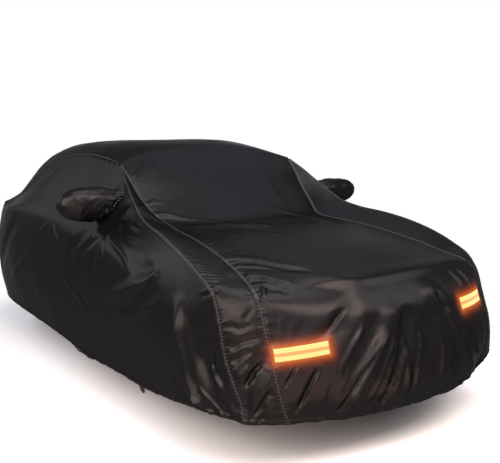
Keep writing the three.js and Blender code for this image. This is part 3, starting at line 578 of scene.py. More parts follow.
# How far apart the lines of each grid are: (place, millimetres) rows, closer where the folds are
# small. place runs along the top panel's edge: 0 to 1 up the front seam, 1 to 2 along the roof
# seam and 2 to 3 down the rear seam. The side that doesn't show has the wider spacing.
TOP_LINES = [(0, 5.3), (0.28, 5.3), (0.36, 6.8), (0.6, 7.3), (0.7, 9.6), (0.8, 12), (1, 14),
             (1.3, 23), (2, 27), (2.2, 23), (2.8, 17), (3, 9)]
TOP_COLUMNS = [(0, 3.8), (0.1, 5), (0.2, 9), (0.5, 10.4), (0.8, 9), (0.9, 5), (1, 3.8)]
CORNER_LINES = {"right": [(0, 4.4), (0.5, 4.6), (0.7, 7), (1, 9)], "left": [(0, 8), (1, 12)]}
CORNER_COLUMNS = {"right": 34, "left": 22}
SIDE_LINES = {"right": [(0, 4.5), (0.06, 6), (0.5, 7.4), (0.9, 7), (1, 5)],
              "left": [(0, 7), (0.1, 11), (0.9, 13), (1, 9)]}
SIDE_COLUMNS = {"right": [(0, 4.6), (0.05, 5.5), (0.27, 7), (0.4, 9), (0.55, 14), (0.9, 18), (1, 14)],
                "left": [(0, 9), (0.27, 12), (0.5, 20), (1, 22)]}

places = spaced(TOP_LINES, SEAM_LENGTH)
place_grid, across_grid = np.meshgrid(places, 2 * spaced(TOP_COLUMNS, TOP_WIDTH) - 1,
                                      indexing="ij")
top = Panel("top_panel", top_point(place_grid, across_grid), 1, {
    edge: (name + "_top", places) for name, edge in TOP_EDGE.items()})
panels = [top]

for name, side in SIDES.items():
    rows = spaced(CORNER_LINES[name], SEAM_LENGTH) * CORNER_TOP
    cols = np.linspace(0, 1, int(CORNER_COLUMNS[name] / COARSE) + 1)
    share, across = np.meshgrid(rows, cols, indexing="ij")
    corner = Panel("corner_panel_" + name, mirrored(corner_point(share, across), side), side, {
        "left": (name + "_top", rows), "right": (name + "_outer", rows)})
    cols = spaced(SIDE_COLUMNS[name], SIDE_LENGTH)
    rows = spaced(SIDE_LINES[name], SIDE_HEIGHT)
    back, rise = np.meshgrid(cols, rows)
    wall = Panel("side_panel_" + name, mirrored(side_point(back, rise), side), side, {
        "left": (name + "_outer", rows), "right": (name + "_top", 3 - rows),
        "high": (name + "_top", 1 + cols)})
    panels += [corner, wall]

share_normals(panels)
by_name = {panel.name: panel for panel in panels}

# ---- puckers and gathers ----


def puckers(panel, edge, where, height, length, spacing, width, slant, seed):
    """Short folds square to an edge. where(run) gives their strength along it; height, length,
    spacing and width are (least, most) in millimetres."""
    draw = np.random.default_rng(seed)
    away = panel.away(edge)
    run = np.broadcast_to(panel.run(edge), away.shape)
    near = away < length[1] * 1.2
    run_near, away_near = run[near], away[near]
    add = np.zeros(len(run_near))
    at = 0.0
    while at < run.max():
        at += draw.uniform(*spacing)
        high, long, wide = (draw.uniform(*pair) for pair in (height, length, width))
        turn = slant + draw.uniform(-0.22, 0.22)
        strength = where(at)
        if strength <= 0:
            continue
        off = (run_near - at - turn * away_near - 3 * np.sin(away_near / 17 + at)) / wide
        close = np.abs(off) < 3
        fade = np.clip(1 - away_near[close] / (long * (0.4 + 0.6 * strength)), 0, 1) ** 1.3
        start = smooth(away_near[close] / 6)
        add[close] += strength * high * np.exp(-off[close] ** 2) * fade * start
    panel.lift[near] += add


def window(*rows):
    """A strength along an edge from (millimetres, strength) rows."""
    at, value = np.array(rows, float).T
    return lambda run: float(np.interp(run, at, value))


everywhere = window((0, 1))
mostly = window((0, 0.8))

# the side that doesn't show has lower puckers, and each has its own seeds
for name, k, extra in (("right", 1.0, 0), ("left", 0.4, 1)):
    corner, wall = by_name["corner_panel_" + name], by_name["side_panel_" + name]
    high, long, apart, wide = (7 * k, 11.5 * k), (60, 140), (25, 36), (8, 10.5)
    # above the join with the gathered part, the seams pucker mostly on their inner side
    puckers(top, TOP_EDGE[name], window((560, 0), (640, 1), (1050, 0.9), (1350, 0.35), (1600, 0),
                                        (1750, 0), (1850, 0.6), (2100, 0.4), (2200, 0.5),
                                        (2450, 0.9), (2600, 0.9), (2800, 0.25), (3200, 0)),
            high, long, apart, wide, 0.1, 11 + extra)
    puckers(corner, "right", window((560, 0), (640, 1), (1050, 0.9), (1350, 0.35), (1600, 0)),
            high, (60, 130), apart, wide, -0.1, 13 + extra)
    puckers(corner, "left", window((600, 0.2), (700, 0.5), (1200, 0.3), (1500, 0)),
            (3 * k, 6 * k), (20, 45), (24, 46), (5.5, 8), 0, 15 + extra)
    puckers(wall, "left", window((500, 0.2), (700, 0.6), (1300, 0.5), (1700, 0.1), (2400, 0.1)),
            (4 * k, 7 * k), (25, 60), (22, 44), (5.5, 8), 0, 17 + extra)
    puckers(wall, "high", window((0, 0.8), (120, 1), (420, 0.8), (600, 0.15), (2600, 0.1)),
            (5 * k, 9 * k), (60, 105), (24, 36), (7, 9), 0, 19 + extra)
    # the gathered part, from the hem up
    low = window((0, 1), (480, 1), (560, 0.6), (600, 0))
    for panel, edge, seed in ((top, TOP_EDGE[name], 31), (corner, "left", 32),
                              (corner, "right", 33), (wall, "left", 34)):
        puckers(panel, edge, low, (1.6, 3.2), (12, 24), (13, 17), (3.4, 4.6), 0, seed)
        puckers(panel, edge, low, (1.5, 5), (30, 80), (30, 60), (7, 11), 0.15, seed + 10)
    # the elastic hem
    for panel, seed in ((corner, 51), (wall, 52)):
        puckers(panel, "low", everywhere, (2, 4.5), (18, 50), (13, 22), (4, 6), 0, seed)
        puckers(panel, "low", window((0, 0.9), (900, 0.5), (4000, 0.5)), (3, 7), (80, 200),
                (60, 130), (9, 16), 0, seed + 5)
puckers(top, "low", everywhere, (3, 6), (24, 80), (13, 22), (4, 6), 0, 61)
puckers(top, "low", mostly, (3, 8), (70, 200), (40, 90), (8, 14), 0.1, 62)
puckers(top, "high", everywhere, (3, 6), (24, 80), (14, 24), (5, 7), 0, 63)
puckers(top, "high", mostly, (4, 9), (120, 320), (70, 140), (12, 20), 0, 64)


SLACK_BELOW = 760  # the cloth creases more below this height, and most so
SLACK_AHEAD = -1500  # where it is also in front of this place
SLACK_FADE = 300


def crumple(panel):
    """Small uneven creasing of the whole cloth: soft swells, creases and fine creases."""
    p = panel.base
    low = smooth((SLACK_BELOW - (p[..., 2] + ROOF_HEIGHT)) / SLACK_FADE)
    nose = smooth((SLACK_AHEAD - (p[..., 1] + ROOF_MIDDLE)) / SLACK_FADE)
    upright = p * (1, 1, 0.45)  # the creases run more up and down than across
    soft = noise(p, 420) * 2.5 + noise_b(p, 190) * 0.8
    crease = 1 - np.abs(noise(upright + 12 * noise_b(p, 90)[..., None], 95))
    fine = 1 - np.abs(noise_b(upright * (1.3, 1, 1), 42))
    return (soft + (0.5 + 1.7 * low * nose + 0.4 * low) * (crease - 0.7) * 2
            + (0.15 + 0.8 * low * nose) * (fine - 0.7) * 1.6)


# ---- where the pockets and the strips sit ----

POCKET = {"root": 640, "tip": 1066, "height": 190, "depth": 168, "along": -475, "tilt": 12}
POCKET_UP = {"right": 1130, "left": 1112}
POCKET_TIP = {"right": 1070, "left": 1040}  # the CAD's tip, let out or drawn in by the cloth
MOUTH_UP = 3  # of a pocket's mouth over its middle
MOUTH_REACH = 240  # how far from it the side panel is gathered

STRIP = {"length": 232, "height": 52, "thick": 1.2}
STRIP_DEPTH = 180  # how far in front of a strip or behind it the cloth can feel it
FAR = 999
# the middle of each strip (out, along, up), its turn round the car's corner and its lean
STRIPS = {"right": (-545, -2005, 544, -26, 5), "left": (462, -2030, 632, 21, 1)}


def strip_axes(name):
    """A strip's middle, and its axes: along it, into the cloth and up it."""
    out, along, up, turn, lean = STRIPS[name]
    t, n = math.radians(turn), math.radians(-lean)
    spin = np.array([(math.cos(t), -math.sin(t), 0), (math.sin(t), math.cos(t), 0), (0, 0, 1)])
    tip = np.array([(math.cos(n), 0, math.sin(n)), (0, 1, 0), (-math.sin(n), 0, math.cos(n))])
    return points_of([(out, along, up)])[0], spin @ tip


def beyond_strip(points, name):
    """Millimetres from a strip's outline, below 0 inside it; FAR in front of it or behind it."""
    middle, axes = strip_axes(name)
    local = (points - middle) @ axes
    over = np.abs(local[..., [0, 2]]) - (STRIP["length"] / 2, STRIP["height"] / 2)
    outside = np.linalg.norm(np.maximum(over, 0), axis=-1)
    gap = outside + np.minimum(over.max(axis=-1), 0)
    return np.where(np.abs(local[..., 1]) < STRIP_DEPTH, gap, FAR)


def mouth_polar(points, name):
    """Distance outside a pocket's mouth, and the angle round it (0 to the rear, then up)."""
    y = points[..., 1] - (POCKET["along"] - ROOF_MIDDLE)
    z = points[..., 2] - (POCKET_UP[name] - ROOF_HEIGHT + MOUTH_UP)
    across, high = 0.4 * POCKET["depth"], 0.4 * POCKET["height"]
    reach = np.hypot(y / across, z / high)
    return (reach - 1) * (across + high) / 2, np.arctan2(z / high, y / across)


def mouth_gathers(panel, name):
    """The side panel is drawn up round the mouth of the mirror's pocket."""
    away, turn = mouth_polar(panel.base, name)
    draw = np.random.default_rng(71)
    lift = 7 * np.exp(-(np.maximum(away, 0) / 24) ** 1.5)
    at = -math.pi
    while at < math.pi:
        at += draw.uniform(0.13, 0.34)
        low = 0.5 - 0.5 * math.sin(at)  # the longest run down from the mouth
        forward = 0.5 - 0.5 * math.cos(at)
        long = draw.uniform(24, 50) + 95 * low * forward * draw.uniform(0.3, 1.0)
        high = draw.uniform(1.5, 3.0) + 2.5 * low * forward
        wide = draw.uniform(6, 9) + 5 * low
        off = (turn - at + math.pi) % (2 * math.pi) - math.pi
        bend = draw.uniform(-0.12, 0.12)
        off = (off + bend * np.sin(np.maximum(away, 0) / 60)) * (70 + np.maximum(away, 0))
        wide = wide * (1 + np.maximum(away, 0) / 70)
        lift += (high * np.exp(-(off / wide) ** 2)
                 * np.clip(1 - away / long, 0, 1) ** 1.2 * smooth((away + 10) / 12))
    return np.where(away < MOUTH_REACH, lift, 0)


# ---- the cloth: the folds, puckers and creases on each panel ----

SEAM_HOLD = 40  # the distance from a seam within which it holds the creases flat
STRIP_HOLD = 34
HEM_SEAM = {"up": 24, "deep": 2.6, "wide": 4.5}  # the row of stitches that closes the hem
HEM_SAG = {"long": 2.6, "short": 1.6, "fade": 26}
TAPE_DIP = {"deep": 3.6, "wide": 9.5}  # the cloth dips under the seam's tape


def hem_groove(away):
    return HEM_SEAM["deep"] * np.exp(-((away - HEM_SEAM["up"]) / HEM_SEAM["wide"]) ** 2)


for panel in panels:
    edge_hold = np.ones(panel.lift.shape)
    dip = np.zeros(panel.lift.shape)
    for edge in panel.edges:
        edge_hold *= smooth(panel.away(edge) / SEAM_HOLD)
        dip += TAPE_DIP["deep"] * np.exp(-(panel.away(edge) / TAPE_DIP["wide"]) ** 2)
    flat = np.ones(panel.lift.shape)
    if panel is top:
        for name in STRIPS:
            flat *= 0.12 + 0.88 * smooth((beyond_strip(panel.base, name) + 2) / STRIP_HOLD)
    if panel.name.startswith("side_panel"):
        panel.lift += mouth_gathers(panel, panel.name.rsplit("_", 1)[1])
    panel.lift += crumple(panel) * (0.25 + 0.75 * edge_hold)
    panel.lift += fold_field(panel.base, panel.normals)
    panel.lift *= flat
    hem = panel.away("low")
    panel.lift -= hem_groove(hem)
    if panel is top:
        panel.lift -= hem_groove(panel.away("high"))
        hem = np.minimum(hem, panel.away("high"))
    sag = HEM_SAG["long"] * noise(panel.base, 60) + HEM_SAG["short"] * noise_b(panel.base, 24)
    panel.level = panel.base + panel.normals * panel.lift[..., None]
    panel.level[..., 2] += sag * np.exp(-hem / HEM_SAG["fade"])
    panel.points = panel.level - panel.normals * dip[..., None]


# ---- meshes ----

def add_object(name, data):
    obj = bpy.data.objects.new(name, data)
    bpy.context.scene.collection.objects.link(obj)
    return obj


def mesh_object(name, points, faces):
    mesh = bpy.data.meshes.new(name)
    faces = faces.tolist() if hasattr(faces, "tolist") else faces
    mesh.from_pydata((np.asarray(points) * MM).tolist(), [], faces)
    mesh.update()
    mesh.polygons.foreach_set("use_smooth", np.ones(len(mesh.polygons), bool))
    return add_object(name, mesh)


def grid_faces(rows, cols, outside=1, wrap=False):
    i, j = np.meshgrid(np.arange(rows - 1), np.arange(cols if wrap else cols - 1), indexing="ij")
    k = (j + 1) % cols
    quad = np.stack([i * cols + j, i * cols + k, (i + 1) * cols + k, (i + 1) * cols + j], -1)
    quad = quad.reshape(-1, 4)
    return quad if outside > 0 else quad[:, ::-1]


HEM_ROLL = 4.0  # radius of the rolled hem, which holds the elastic
HEM_TURN = (0.25, 0.5, 0.75, 1.0)
HEM_UP = (7, 16)  # how far the turned-in cloth runs up behind
GLOW_WIDTH = 23


def rolled(points, normals):
    """Rows that turn in from the first row of a grid, as the tube of the hem does."""
    down = unit(points[0] - points[2])
    rows = [points[0] + HEM_ROLL * ((math.cos(math.pi * t) - 1) * normals[0]
                                    + math.sin(math.pi * t) * down) for t in HEM_TURN]
    rows += [rows[-1] - down * up for up in HEM_UP]
    return np.vstack([np.stack(rows)[::-1], points])


def cloth_object(panel, keep):
    """A panel's cloth, with only the faces whose middles keep says are kept, if it isn't None."""
    points = rolled(panel.points, panel.normals)
    if panel is top:
        points = rolled(points[::-1], panel.normals[::-1])[::-1]
    rows, cols = points.shape[:2]
    faces = grid_faces(rows, cols, panel.outside)
    flat = points.reshape(-1, 3)
    if keep is not None:
        centre = flat[faces].mean(axis=1)
        faces = faces[keep(centre)]
        used = np.unique(faces)
        renumber = np.zeros(len(flat), int)
        renumber[used] = np.arange(len(used))
        faces, flat = renumber[faces], flat[used]
    obj = mesh_object(panel.name + "_cloth", flat, faces)
    if not panel.name.startswith("side_panel"):
        set_glow(obj, flat)
    return obj


def set_glow(obj, points):
    """How strongly the strips' painted glow lights each point, from 0 to 1."""
    gap = np.minimum(*(beyond_strip(points, name) for name in STRIPS))
    value = np.exp(-(np.maximum(gap, 0) / GLOW_WIDTH) ** 1.3)
    obj.data.attributes.new("glow", "FLOAT", "POINT").data.foreach_set("value", value)


# ---- materials ----

class Nodes:
    """A tree of shader nodes, with short ways to add those that several finishes use."""

    def __init__(self, tree):
        self.tree = tree

    def add(self, kind, sources=(), **values):
        """A node; sources are (socket, output) pairs, and _ in a value's name is a space."""
        node = self.tree.nodes.new("ShaderNode" + kind)
        for socket, output in sources:
            self.tree.links.new(output, node.inputs[socket])
        for socket, value in values.items():
            node.inputs[socket.replace("_", " ")].default_value = value
        return node

    def math(self, operation, first, second):
        node = self.add("Math", [(0, first), (1, second)])
        node.operation = operation
        return node.outputs[0]

    def place(self):
        return self.add("TexCoord").outputs["Object"]

    def noise(self, place, scale, detail=2.0):
        return self.add("TexNoise", [("Vector", place)], Scale=scale, Detail=detail).outputs["Fac"]

    def wave(self, place, axis, scale):
        node = self.add("TexWave", [("Vector", place)], Scale=scale)
        node.bands_direction = axis
        return node.outputs["Fac"]

    def bump(self, height, distance, strength, before=None):
        sources = [("Height", height)]
        if before:
            sources.append(("Normal", before))
        node = self.add("Bump", sources, Distance=distance, Strength=strength)
        return node.outputs["Normal"]

    def span(self, value, low, high):
        """A value from 0 to 1, stretched to lie from low to high."""
        return self.add("MapRange", [("Value", value)], To_Min=low, To_Max=high).outputs["Result"]

    def ramp(self, value, first, *between, last):
        """A value from 0 to 1 turned into a colour; between are (place, colour) pairs."""
        node = self.add("ValToRGB", [("Fac", value)])
        elements = node.color_ramp.elements
        elements[0].color = (*first, 1)
        elements[1].color = (*last, 1)
        for at, colour in between:
            elements.new(at).color = (*colour, 1)
        return node.outputs["Color"]

    def where_seen(self):
        """1 for what the camera, a mirror or glass sees of a surface, else 0."""
        path = self.add("LightPath").outputs
        seen = self.math("MAXIMUM", path["Is Camera Ray"], path["Is Glossy Ray"])
        return self.math("MAXIMUM", seen, path["Is Transmission Ray"])


class Material(Nodes):
    """A material with one Principled shader."""

    def __init__(self, name, colour, roughness, specular):
        self.data = bpy.data.materials.new(name)
        self.data.use_nodes = True
        super().__init__(self.data.node_tree)
        self.shader = self.tree.nodes["Principled BSDF"]
        self.set("Base Color", (*colour, 1))
        self.set("Roughness", roughness)
        self.set("Specular IOR Level", specular)

    def set(self, socket, value):
        self.shader.inputs[socket].default_value = value

    def link(self, socket, output):
        self.tree.links.new(output, self.shader.inputs[socket])


FLAT_SHEEN = 0.0005  # woven yarn reflects about as much at every angle: a low level, a high tint


def add_glow(mat):
    """A painted glow from the reflective strips on the cloth round them, by the mesh's own glow
    value: emission, where there is no lamp.
    """
    near_strip = mat.add("Attribute")
    near_strip.attribute_name = "glow"
    colour = mat.ramp(near_strip.outputs["Fac"], (0, 0, 0), (0.12, (0.035, 0.007, 0.004)),
                      (0.5, (0.29, 0.045, 0.008)), last=(0.68, 0.135, 0.014))
    mat.link("Emission Color", colour)
    mat.set("Emission Strength", 1)


def cloth_material(name):
    mat = Material(name, (0.004, 0.004, 0.004), 0.3, FLAT_SHEEN)
    mat.set("Specular Tint", (166, 167, 170, 1))
    place = mat.place()
    mat.link("Roughness", mat.span(mat.noise(place, 14), 0.24, 0.3))
    mat.link("Base Color", mat.ramp(mat.noise(place, 5, 4), (0.0010, 0.0010, 0.0011),
                                    last=(0.0022, 0.0022, 0.0024)))
    weave = mat.bump(mat.noise(place, 28, 3), 0.004, 0.18)
    for axis in "XZ":
        weave = mat.bump(mat.wave(place, axis, 500), 0.0002, 0.12, weave)
    mat.link("Normal", weave)
    return mat


cloth = cloth_material("cloth")
lit_cloth = cloth_material("cloth_by_strips")
add_glow(lit_cloth)


def cover_piece(obj, nodes, mat):
    obj.data.materials.append(mat.data)
    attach(obj, "root")
    if nodes:
        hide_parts(*nodes)
    return obj


FLAT = {  # cut size in metres (width, length) and area in square metres
    "top_panel": ((1.68, 6.10), 8.25),
    "corner_panel": ((0.22, 2.30), 0.38),
    "side_panel": ((1.55, 4.20), 4.2)}


def outside_mouth(name):
    """Says which points of a side panel lie outside the hole where its pocket is sewn in."""
    middle = np.array([POCKET["along"] - ROOF_MIDDLE, POCKET_UP[name] - ROOF_HEIGHT + MOUTH_UP])
    half = 0.36 * np.array([POCKET["depth"], POCKET["height"]])
    return lambda centre: np.sum(((centre[:, 1:] - middle) / half) ** 2, axis=1) > 1


for panel in panels:
    kind = panel.name.rsplit("_", 1)[0] if panel is not top else "top_panel"
    keep = outside_mouth(panel.name.rsplit("_", 1)[1]) if kind == "side_panel" else None
    obj = cloth_object(panel, keep)
    cover_piece(obj, [panel.name], cloth if kind == "side_panel" else lit_cloth)
    flat, area = FLAT[kind]

# ---- seams ----


def seam_sides(name):
    """For each seam on one side: the two panels and edges that meet, and their places on it."""
    corner, wall = by_name["corner_panel_" + name], by_name["side_panel_" + name]
    mine = TOP_EDGE[name]
    front, crown, back = places <= 1, (places >= 1) & (places <= 2), places >= 2
    share = corner.edges["left"][1]
    rows = wall.edges["left"][1]
    across = wall.edges["high"][1] - 1
    return {
        "inner": ((top, mine, places, front), (corner, "left", share, share <= 1)),
        "outer": ((corner, "right", share, share <= 1), (wall, "left", rows, rows <= 1)),
        "roof": ((top, mine, places - 1, crown), (wall, "high", across, across <= 1)),
        "rear": ((top, mine, 3 - places, back), (wall, "right", rows, rows <= 1))}


def seam_line(sides, first, last, spacing, offsets):
    """Points across a seam at offsets (below 0 on the first panel's side), all along it from
    first to last, which is counted from the seam's end where it is below 0; and normals there."""
    def in_order(side, read):
        panel, edge, at, use = side
        order = np.argsort(at[use])
        return at[use][order], read(panel, edge)[use][order]

    at, line = in_order(sides[0], lambda panel, edge: panel.line(edge, panel.level))
    run = along_path(line)
    last = min(last, run[-1]) if last > 0 else run[-1] + last
    steps = np.arange(first, last, spacing)
    share = np.interp(steps, run, at)
    rows, ups = [], []
    for offset in offsets:
        side = sides[0 if offset <= 0 else 1]
        at, on = in_order(side, lambda panel, edge: panel.beside(edge, abs(offset), panel.level))
        at, up = in_order(side, lambda panel, edge: panel.beside(edge, abs(offset), panel.normals))
        rows.append(read_points(share, at, on))
        ups.append(read_points(share, at, up))
    return np.stack(rows, 1), unit(np.stack(ups, 1)), steps


def joined(name, parts):
    """One object from (points, faces) parts."""
    points, faces, count = [], [], 0
    for p, f in parts:
        points.append(p)
        faces.append(f + count)
        count += len(p)
    points = np.vstack(points)
    obj = mesh_object(name, points, np.vstack(faces))
    set_glow(obj, points)
    return obj


TAPE = {"offsets": (-9.6, -8.6, -5, 0, 5, 8.6, 9.6), "lift": (-4.2, 0.9, 2.4, 2.0, 2.4, 0.9, -4.2)}
CORD = {"offsets": (-4.4, -3.6, -1.5, 1.5, 3.6, 4.4), "lift": (-2.6, 0.2, 1.2, 1.2, 0.2, -2.6)}
THREAD = {"offsets": (-15, -11, -6, 0, 6, 11, 15), "lift": (-1.5, 1.6, 3.0, 3.4, 3.0, 1.6, -1.5),
          "spacing": 14.5, "half": 2.2, "over": 1.6, "under": 1.2}
GATHERED = {"inner": 545, "outer": 560}  # how far up from the hem a front seam is gathered
seam_parts = []
thread_parts = []


def lay_band(sides, side, first, last, spacing, shape, wave=0.0):
    """A raised band along a seam; wave is the height of its gathers."""
    on, up, run = seam_line(sides, first, last, spacing * COARSE, shape["offsets"])
    gathers = wave * np.sin(run * 2 * math.pi / 15)[:, None, None]
    lift = np.array(shape["lift"])[None, :, None] + gathers
    seam_parts.append(((on + up * lift).reshape(-1, 3), grid_faces(*on.shape[:2], side)))


def lay_threads(sides, side, last):
    """Short threads across the gathered part of a seam, each a little askew."""
    draw = np.random.default_rng(81)
    reach = np.array(THREAD["offsets"], float)
    on, up, run = seam_line(sides, 4, last, THREAD["spacing"], reach)
    ahead = unit(np.gradient(on, axis=0))
    arch = np.array(THREAD["lift"])[None, :, None]
    slant = (draw.uniform(-3, 3, len(run))[:, None] * reach / 15)[..., None]
    middle = on + up * arch + ahead * slant
    ring = np.stack([middle + ahead * THREAD["half"], middle + up * THREAD["over"],
                     middle - ahead * THREAD["half"], middle - up * THREAD["under"]], 2)
    for bar in ring:
        thread_parts.append((bar.reshape(-1, 3), grid_faces(len(reach), 4, side, True)))


for name, side in SIDES.items():
    for seam, sides in seam_sides(name).items():
        if seam in GATHERED:
            top_of_it = GATHERED[seam]
            lay_band(sides, side, first=top_of_it, last=-12, spacing=6, shape=TAPE)
            lay_band(sides, side, first=2, last=top_of_it, spacing=3.5, shape=CORD, wave=0.8)
            lay_threads(sides, side, top_of_it)
        else:
            lay_band(sides, side, first=0, last=-1, spacing=6, shape=CORD)


def tape_material():
    mat = Material("seam_tape", (0.009, 0.009, 0.010), 0.42, FLAT_SHEEN)
    mat.set("Specular Tint", (262, 265, 270, 1))
    add_glow(mat)
    mat.link("Normal", mat.bump(mat.noise(mat.place(), 260), 0.0006, 0.4))
    return mat


tape = tape_material()
cover_piece(joined("seam_tape", seam_parts), [], tape)
cover_piece(joined("seam_stitches", thread_parts), [], tape)

# ---- the mirror pockets ----


def pocket_profile():
    """A pocket's size by the share of its reach, and the distance along its skin, finely."""
    reach = np.sin(np.linspace(0, math.pi / 2, 2500))
    neck = 0.8 + 0.2 * smooth((reach - 0.22) / 0.26)
    size = neck * (1 - np.clip((reach - 0.62) / 0.38, 0, 1) ** 2.2) ** 0.5
    run = np.hypot(np.diff(reach * (POCKET["tip"] - POCKET["root"])),
                   np.diff(size * (POCKET["height"] + POCKET["depth"]) / 4))
    return reach, size, np.concatenate([[0], np.cumsum(run)])


REACH, SIZE, SKIN_RUN = pocket_profile()
GRID = {"right": (132, 92), "left": (84, 52)}  # turns round a pocket, and rings along it
NECK = {"at": 17, "wide": 17, "out": 2.4, "gathers": 4.4}  # the gathered root, along the skin
NECK_SEAMS = ((4, 5.0), (33, 4.5))  # the rows of stitches: how far along the skin, how deep
FRONT_BELOW = 3 * math.pi / 4


def pocket_skin(name, reach, turn):
    """Points of a pocket's smooth skin, by the reach out to its tip and the turn round it."""
    size = np.interp(reach, REACH, SIZE)
    if name == "left":
        size = size * (1 - 0.14 * smooth((reach - 0.35) / 0.3))
    c, s = np.cos(turn), np.sin(turn)
    x = POCKET["root"] + (POCKET_TIP[name] - POCKET["root"]) * reach
    y = POCKET["along"] - ROOF_MIDDLE + POCKET["depth"] / 2 * size * np.sign(c) * abs(c) ** 0.86
    z = (POCKET_UP[name] - ROOF_HEIGHT + POCKET["tilt"] * reach
         + POCKET["height"] / 2 * size * np.sign(s) * abs(s) ** 0.86)
    return np.stack([SIDES[name] * x, y, z], -1)


def pocket_root(name, turns):
    """The reach at which a pocket's skin comes out of the side panel, for each turn round it."""
    wall, side = by_name["side_panel_" + name], SIDES[name]
    tree = BVHTree.FromPolygons(wall.points.reshape(-1, 3).tolist(),
                                grid_faces(*wall.points.shape[:2]).tolist())
    root = np.zeros(len(turns))
    for k, turn in enumerate(turns):
        for reach in np.linspace(0.7, 0.15, 56):
            p = pocket_skin(name, reach, turn)
            hit = tree.ray_cast((side * 1500, p[1], p[2]), (-side, 0, 0))[0]
            if hit is not None and side * hit[0] >= side * p[0]:
                root[k] = reach
                break
    return sum(np.roll(root, k) for k in range(-4, 5)) / 9 - 0.014


def pocket_lift(p, away, turn, reach):
    """How far a pocket's gathers, folds and seams stand out from its smooth skin. away is the
    distance along the skin from where it leaves the side panel."""
    swing = turn * 17 + 1.4 * noise(p * (0, 1, 1) + 300, 70)
    near_root = np.exp(-((away - NECK["at"]) / NECK["wide"]) ** 2)
    lift = near_root * (NECK["out"] - NECK["gathers"] * np.abs(np.sin(swing)) ** 1.3)
    for at, deep in NECK_SEAMS:
        lift -= deep * np.exp(-((away - at) / 5) ** 2)
    draw = np.random.default_rng(91)
    for _ in range(30):  # gathers that run out from the neck
        middle = draw.uniform(-math.pi, math.pi)
        off = (turn - middle + draw.uniform(-1, 1) * away / 400 + math.pi) % (2 * math.pi)
        long, high, wide = draw.uniform(50, 110), draw.uniform(2.5, 6), draw.uniform(5, 10)
        lift += (high * np.exp(-(((off - math.pi) * 80) / wide) ** 2)
                 * smooth((away - 26) / 12) * smooth((long - away) / 40))
    low_front = 0.5 + 0.5 * np.cos(turn + FRONT_BELOW)
    ridge = 1 - np.abs(noise_b(p * (1, 1, 1.5), 40))
    lift += 7 * (ridge - 0.75) * np.exp(-((away - 62) / 30) ** 2) * smooth(low_front * 2 - 0.7)
    crumpled = 0.75 - np.abs(noise_b(p * (1, 1, 1.4), 62))
    lift += (3.0 * noise(p, 75) + 3 * crumpled) * smooth(away / 50)
    # the seam that runs over the pocket's top, with a stitched ridge on either side
    aside = p[..., 1] - (POCKET["along"] - ROOF_MIDDLE) - 24 * smooth((reach - 0.55) / 0.45)
    seam = smooth((away - 30) / 10)
    stitches = 1 + 0.8 * np.sin(away * 2 * math.pi / 12)
    lift -= seam * 3.2 * np.exp(-(aside / 2.8) ** 2)
    lift += seam * 1.6 * np.exp(-((np.abs(aside) - 6) / 3) ** 2) * stitches
    return lift


def pocket_object(name):
    side = SIDES[name]
    turns, rings = (int(count / COARSE) for count in GRID[name])
    turn = np.arange(turns) * 2 * math.pi / turns
    start = np.interp(pocket_root(name, turn), REACH, SKIN_RUN)
    share = np.linspace(0, 0.985, rings)[:, None]
    run = start + (SKIN_RUN[-1] - start) * share
    reach = np.interp(run, SKIN_RUN, REACH)
    turn = np.broadcast_to(turn, reach.shape)
    p = pocket_skin(name, reach, turn)
    around = np.roll(p, -1, axis=1) - np.roll(p, 1, axis=1)
    normals = unit(np.cross(around, np.gradient(p, axis=0))) * side
    p = p + normals * pocket_lift(p, run - start, turn, reach)[..., None]
    faces = grid_faces(rings, turns, -side, True).tolist()
    last = (rings - 1) * turns
    cap = [[last + k, last + (k + 1) % turns, rings * turns] for k in range(turns)]
    faces += cap if side < 0 else [face[::-1] for face in cap]
    points = np.vstack([p.reshape(-1, 3), p[-1].mean(0)])
    obj = mesh_object("mirror_pocket_%s_cloth" % name, points, faces)
    cover_piece(obj, ["mirror_pocket_" + name], cloth)


for name in SIDES:
    pocket_object(name)

# ---- the reflective strips ----

BANDS = (0.36, 0.63)  # the strip's two bright bands lie below and above these shares of it
STRIP_SEARCH = 150  # how far out from a strip's middle the cloth is looked for


# The strips' look is a painted glow: their emission colours stand in for the retroreflective tape
# shining back the light, though the strips are no lamp.
def glowing_strip_material(name, colour):
    mat = Material(name, (0.02, 0.012, 0.006), 0.3, 0.3)
    mat.set("Emission Strength", 1)
    cells = mat.add("TexVoronoi", [("Vector", mat.place())], Scale=420).outputs["Distance"]
    mat.link("Emission Color", mat.ramp(cells, colour, last=[0.86 * c for c in colour]))
    mat.link("Normal", mat.bump(cells, 0.0003, 1.0))
    return mat


yellow_glow = glowing_strip_material("strip_bright_band", (0.98, 0.84, 0.25))
orange_glow = glowing_strip_material("strip_middle_band", (0.88, 0.39, 0.085))


